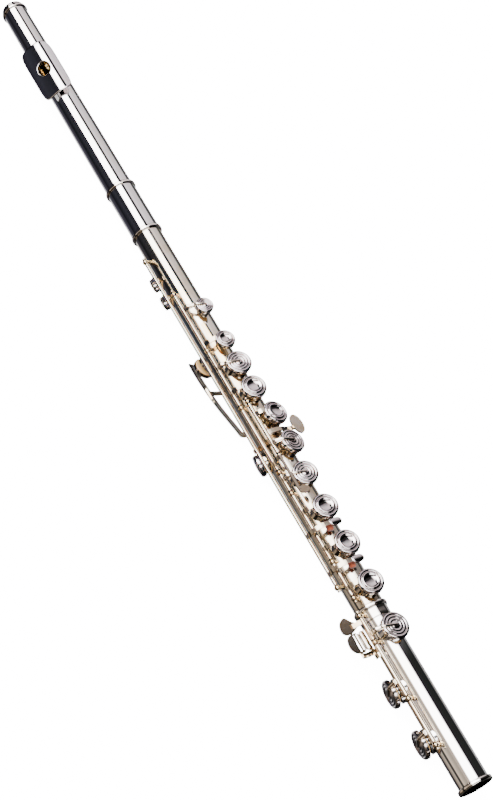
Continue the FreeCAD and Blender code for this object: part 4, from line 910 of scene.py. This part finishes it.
def build_lip_plate():
    """Loops from the hole to the rim and back under, turned to the player's side."""
    turn = np.linspace(0, math.tau, PLATE_COLUMNS, endpoint=False)[None, :]
    cosine, sine = np.cos(turn), np.sin(turn)
    power = PLATE_SQUARENESS
    stretch = (np.abs(cosine) ** power + np.abs(sine) ** power) ** (-1 / power)
    spread = np.linspace(0.03, 0.975, PLATE_LOOPS)
    half = PLATE_THICK / 2
    rim = [0.990, 0.998, 1.0, 0.998, 0.990]
    rim_lift = [0.85 * half, 0.5 * half, 0, -0.5 * half, -0.85 * half]
    share = np.concatenate([[0.0, 0.008], spread, rim, spread[::-1], [0.008, 0.0]])
    lift = np.concatenate([[0.0, 0.62 * half], np.full(PLATE_LOOPS, half), rim_lift,
                           np.full(PLATE_LOOPS, -half), [-half, -0.6 * half]])
    share, lift = share[:, None], lift[:, None]
    x = (1 - share) * HOLE_HALF[0] * cosine + share * PLATE_HALF[0] * stretch * cosine
    y = (1 - share) * HOLE_HALF[1] * sine + share * PLATE_HALF[1] * stretch * sine
    z = plate_height(x, y) + lift
    c, s = math.cos(EMBOUCHURE_TURN), math.sin(EMBOUCHURE_TURN)
    points = np.stack([x + EMBOUCHURE_X, c * y - s * z, s * y + c * z], axis=-1).reshape(-1, 3)
    plate = piece_from("lip_plate_sheet", points, grid_faces(share.shape[0], PLATE_COLUMNS, wrap_rows=True),
                       "lip_silver", "head_joint", "lip_silver")
    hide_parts("lip_plate")
    print(f"lip plate: {face_out(plate):.0f} mm3")


build_lip_plate()

# %% [markdown]
# Each trill touch is domed, and under it sits a small felt block, which stops the key before it
# hits the tube. Both are cushion-like solids: a ball pushed towards a box, by a power on each
# coordinate.

# %% Domed touches and felt blocks
def cushion(name, centre, half, power, finish, body, label):
    """A rounded block: each coordinate is half x sign(s) |s|^p of a ball's."""
    rows, columns = 24, 40
    tilt = np.linspace(-math.pi / 2 + 0.02, math.pi / 2 - 0.02, rows)[:, None]
    turn = np.linspace(0, math.tau, columns, endpoint=False)[None, :]
    level, height = np.cos(tilt), np.sin(tilt) + 0 * turn
    ball = np.stack([level * np.cos(turn), level * np.sin(turn), height], axis=-1)
    points = (np.asarray(centre) + np.asarray(half) * np.sign(ball) * np.abs(ball) ** power).reshape(-1, 3)
    faces = grid_faces(rows, columns).tolist()
    faces += [list(range(columns))[::-1], list(range((rows - 1) * columns, rows * columns))]
    piece = piece_from(name, points, faces, finish, body, label)
    print(f"{name}: {face_out(piece):.0f} mm3")
    return piece


# A touch is what lies beyond this y and above this z, in mm.
TOUCH_FAR, TOUCH_LOW = 1.0, 14.5


def touch_middle(node):
    """x halfway along a trill key's highest part, its touch."""
    mesh = nodes[node].data
    points = np.zeros(len(mesh.vertices) * 3)
    mesh.vertices.foreach_get("co", points)
    points = points.reshape(-1, 3) / MM
    far = points[(points[:, 1] > TOUCH_FAR) & (points[:, 2] > TOUCH_LOW), 0]
    return (far.min() + far.max()) / 2


FELT_HALF, FELT_SHIFT, FELT_PLACE = (2.3, 2.2, 1.4), 1.6, (-4.6, 13.0)
TOUCH_HALF, TOUCH_PLACE = (2.6, 4.9, 1.4), (-0.9, 16.4)
for name in ("d_trill_key", "dsharp_trill_key"):
    x = touch_middle(name)
    felt = cushion(name + "_felt", (x + FELT_SHIFT, *FELT_PLACE), FELT_HALF, 0.45, "felt", name, "cork")
    touch_name = name + "_touch_pillow"
    cushion(touch_name, (x, *TOUCH_PLACE), TOUCH_HALF, 0.75, "cup_silver_shaded", name, "key_silver")
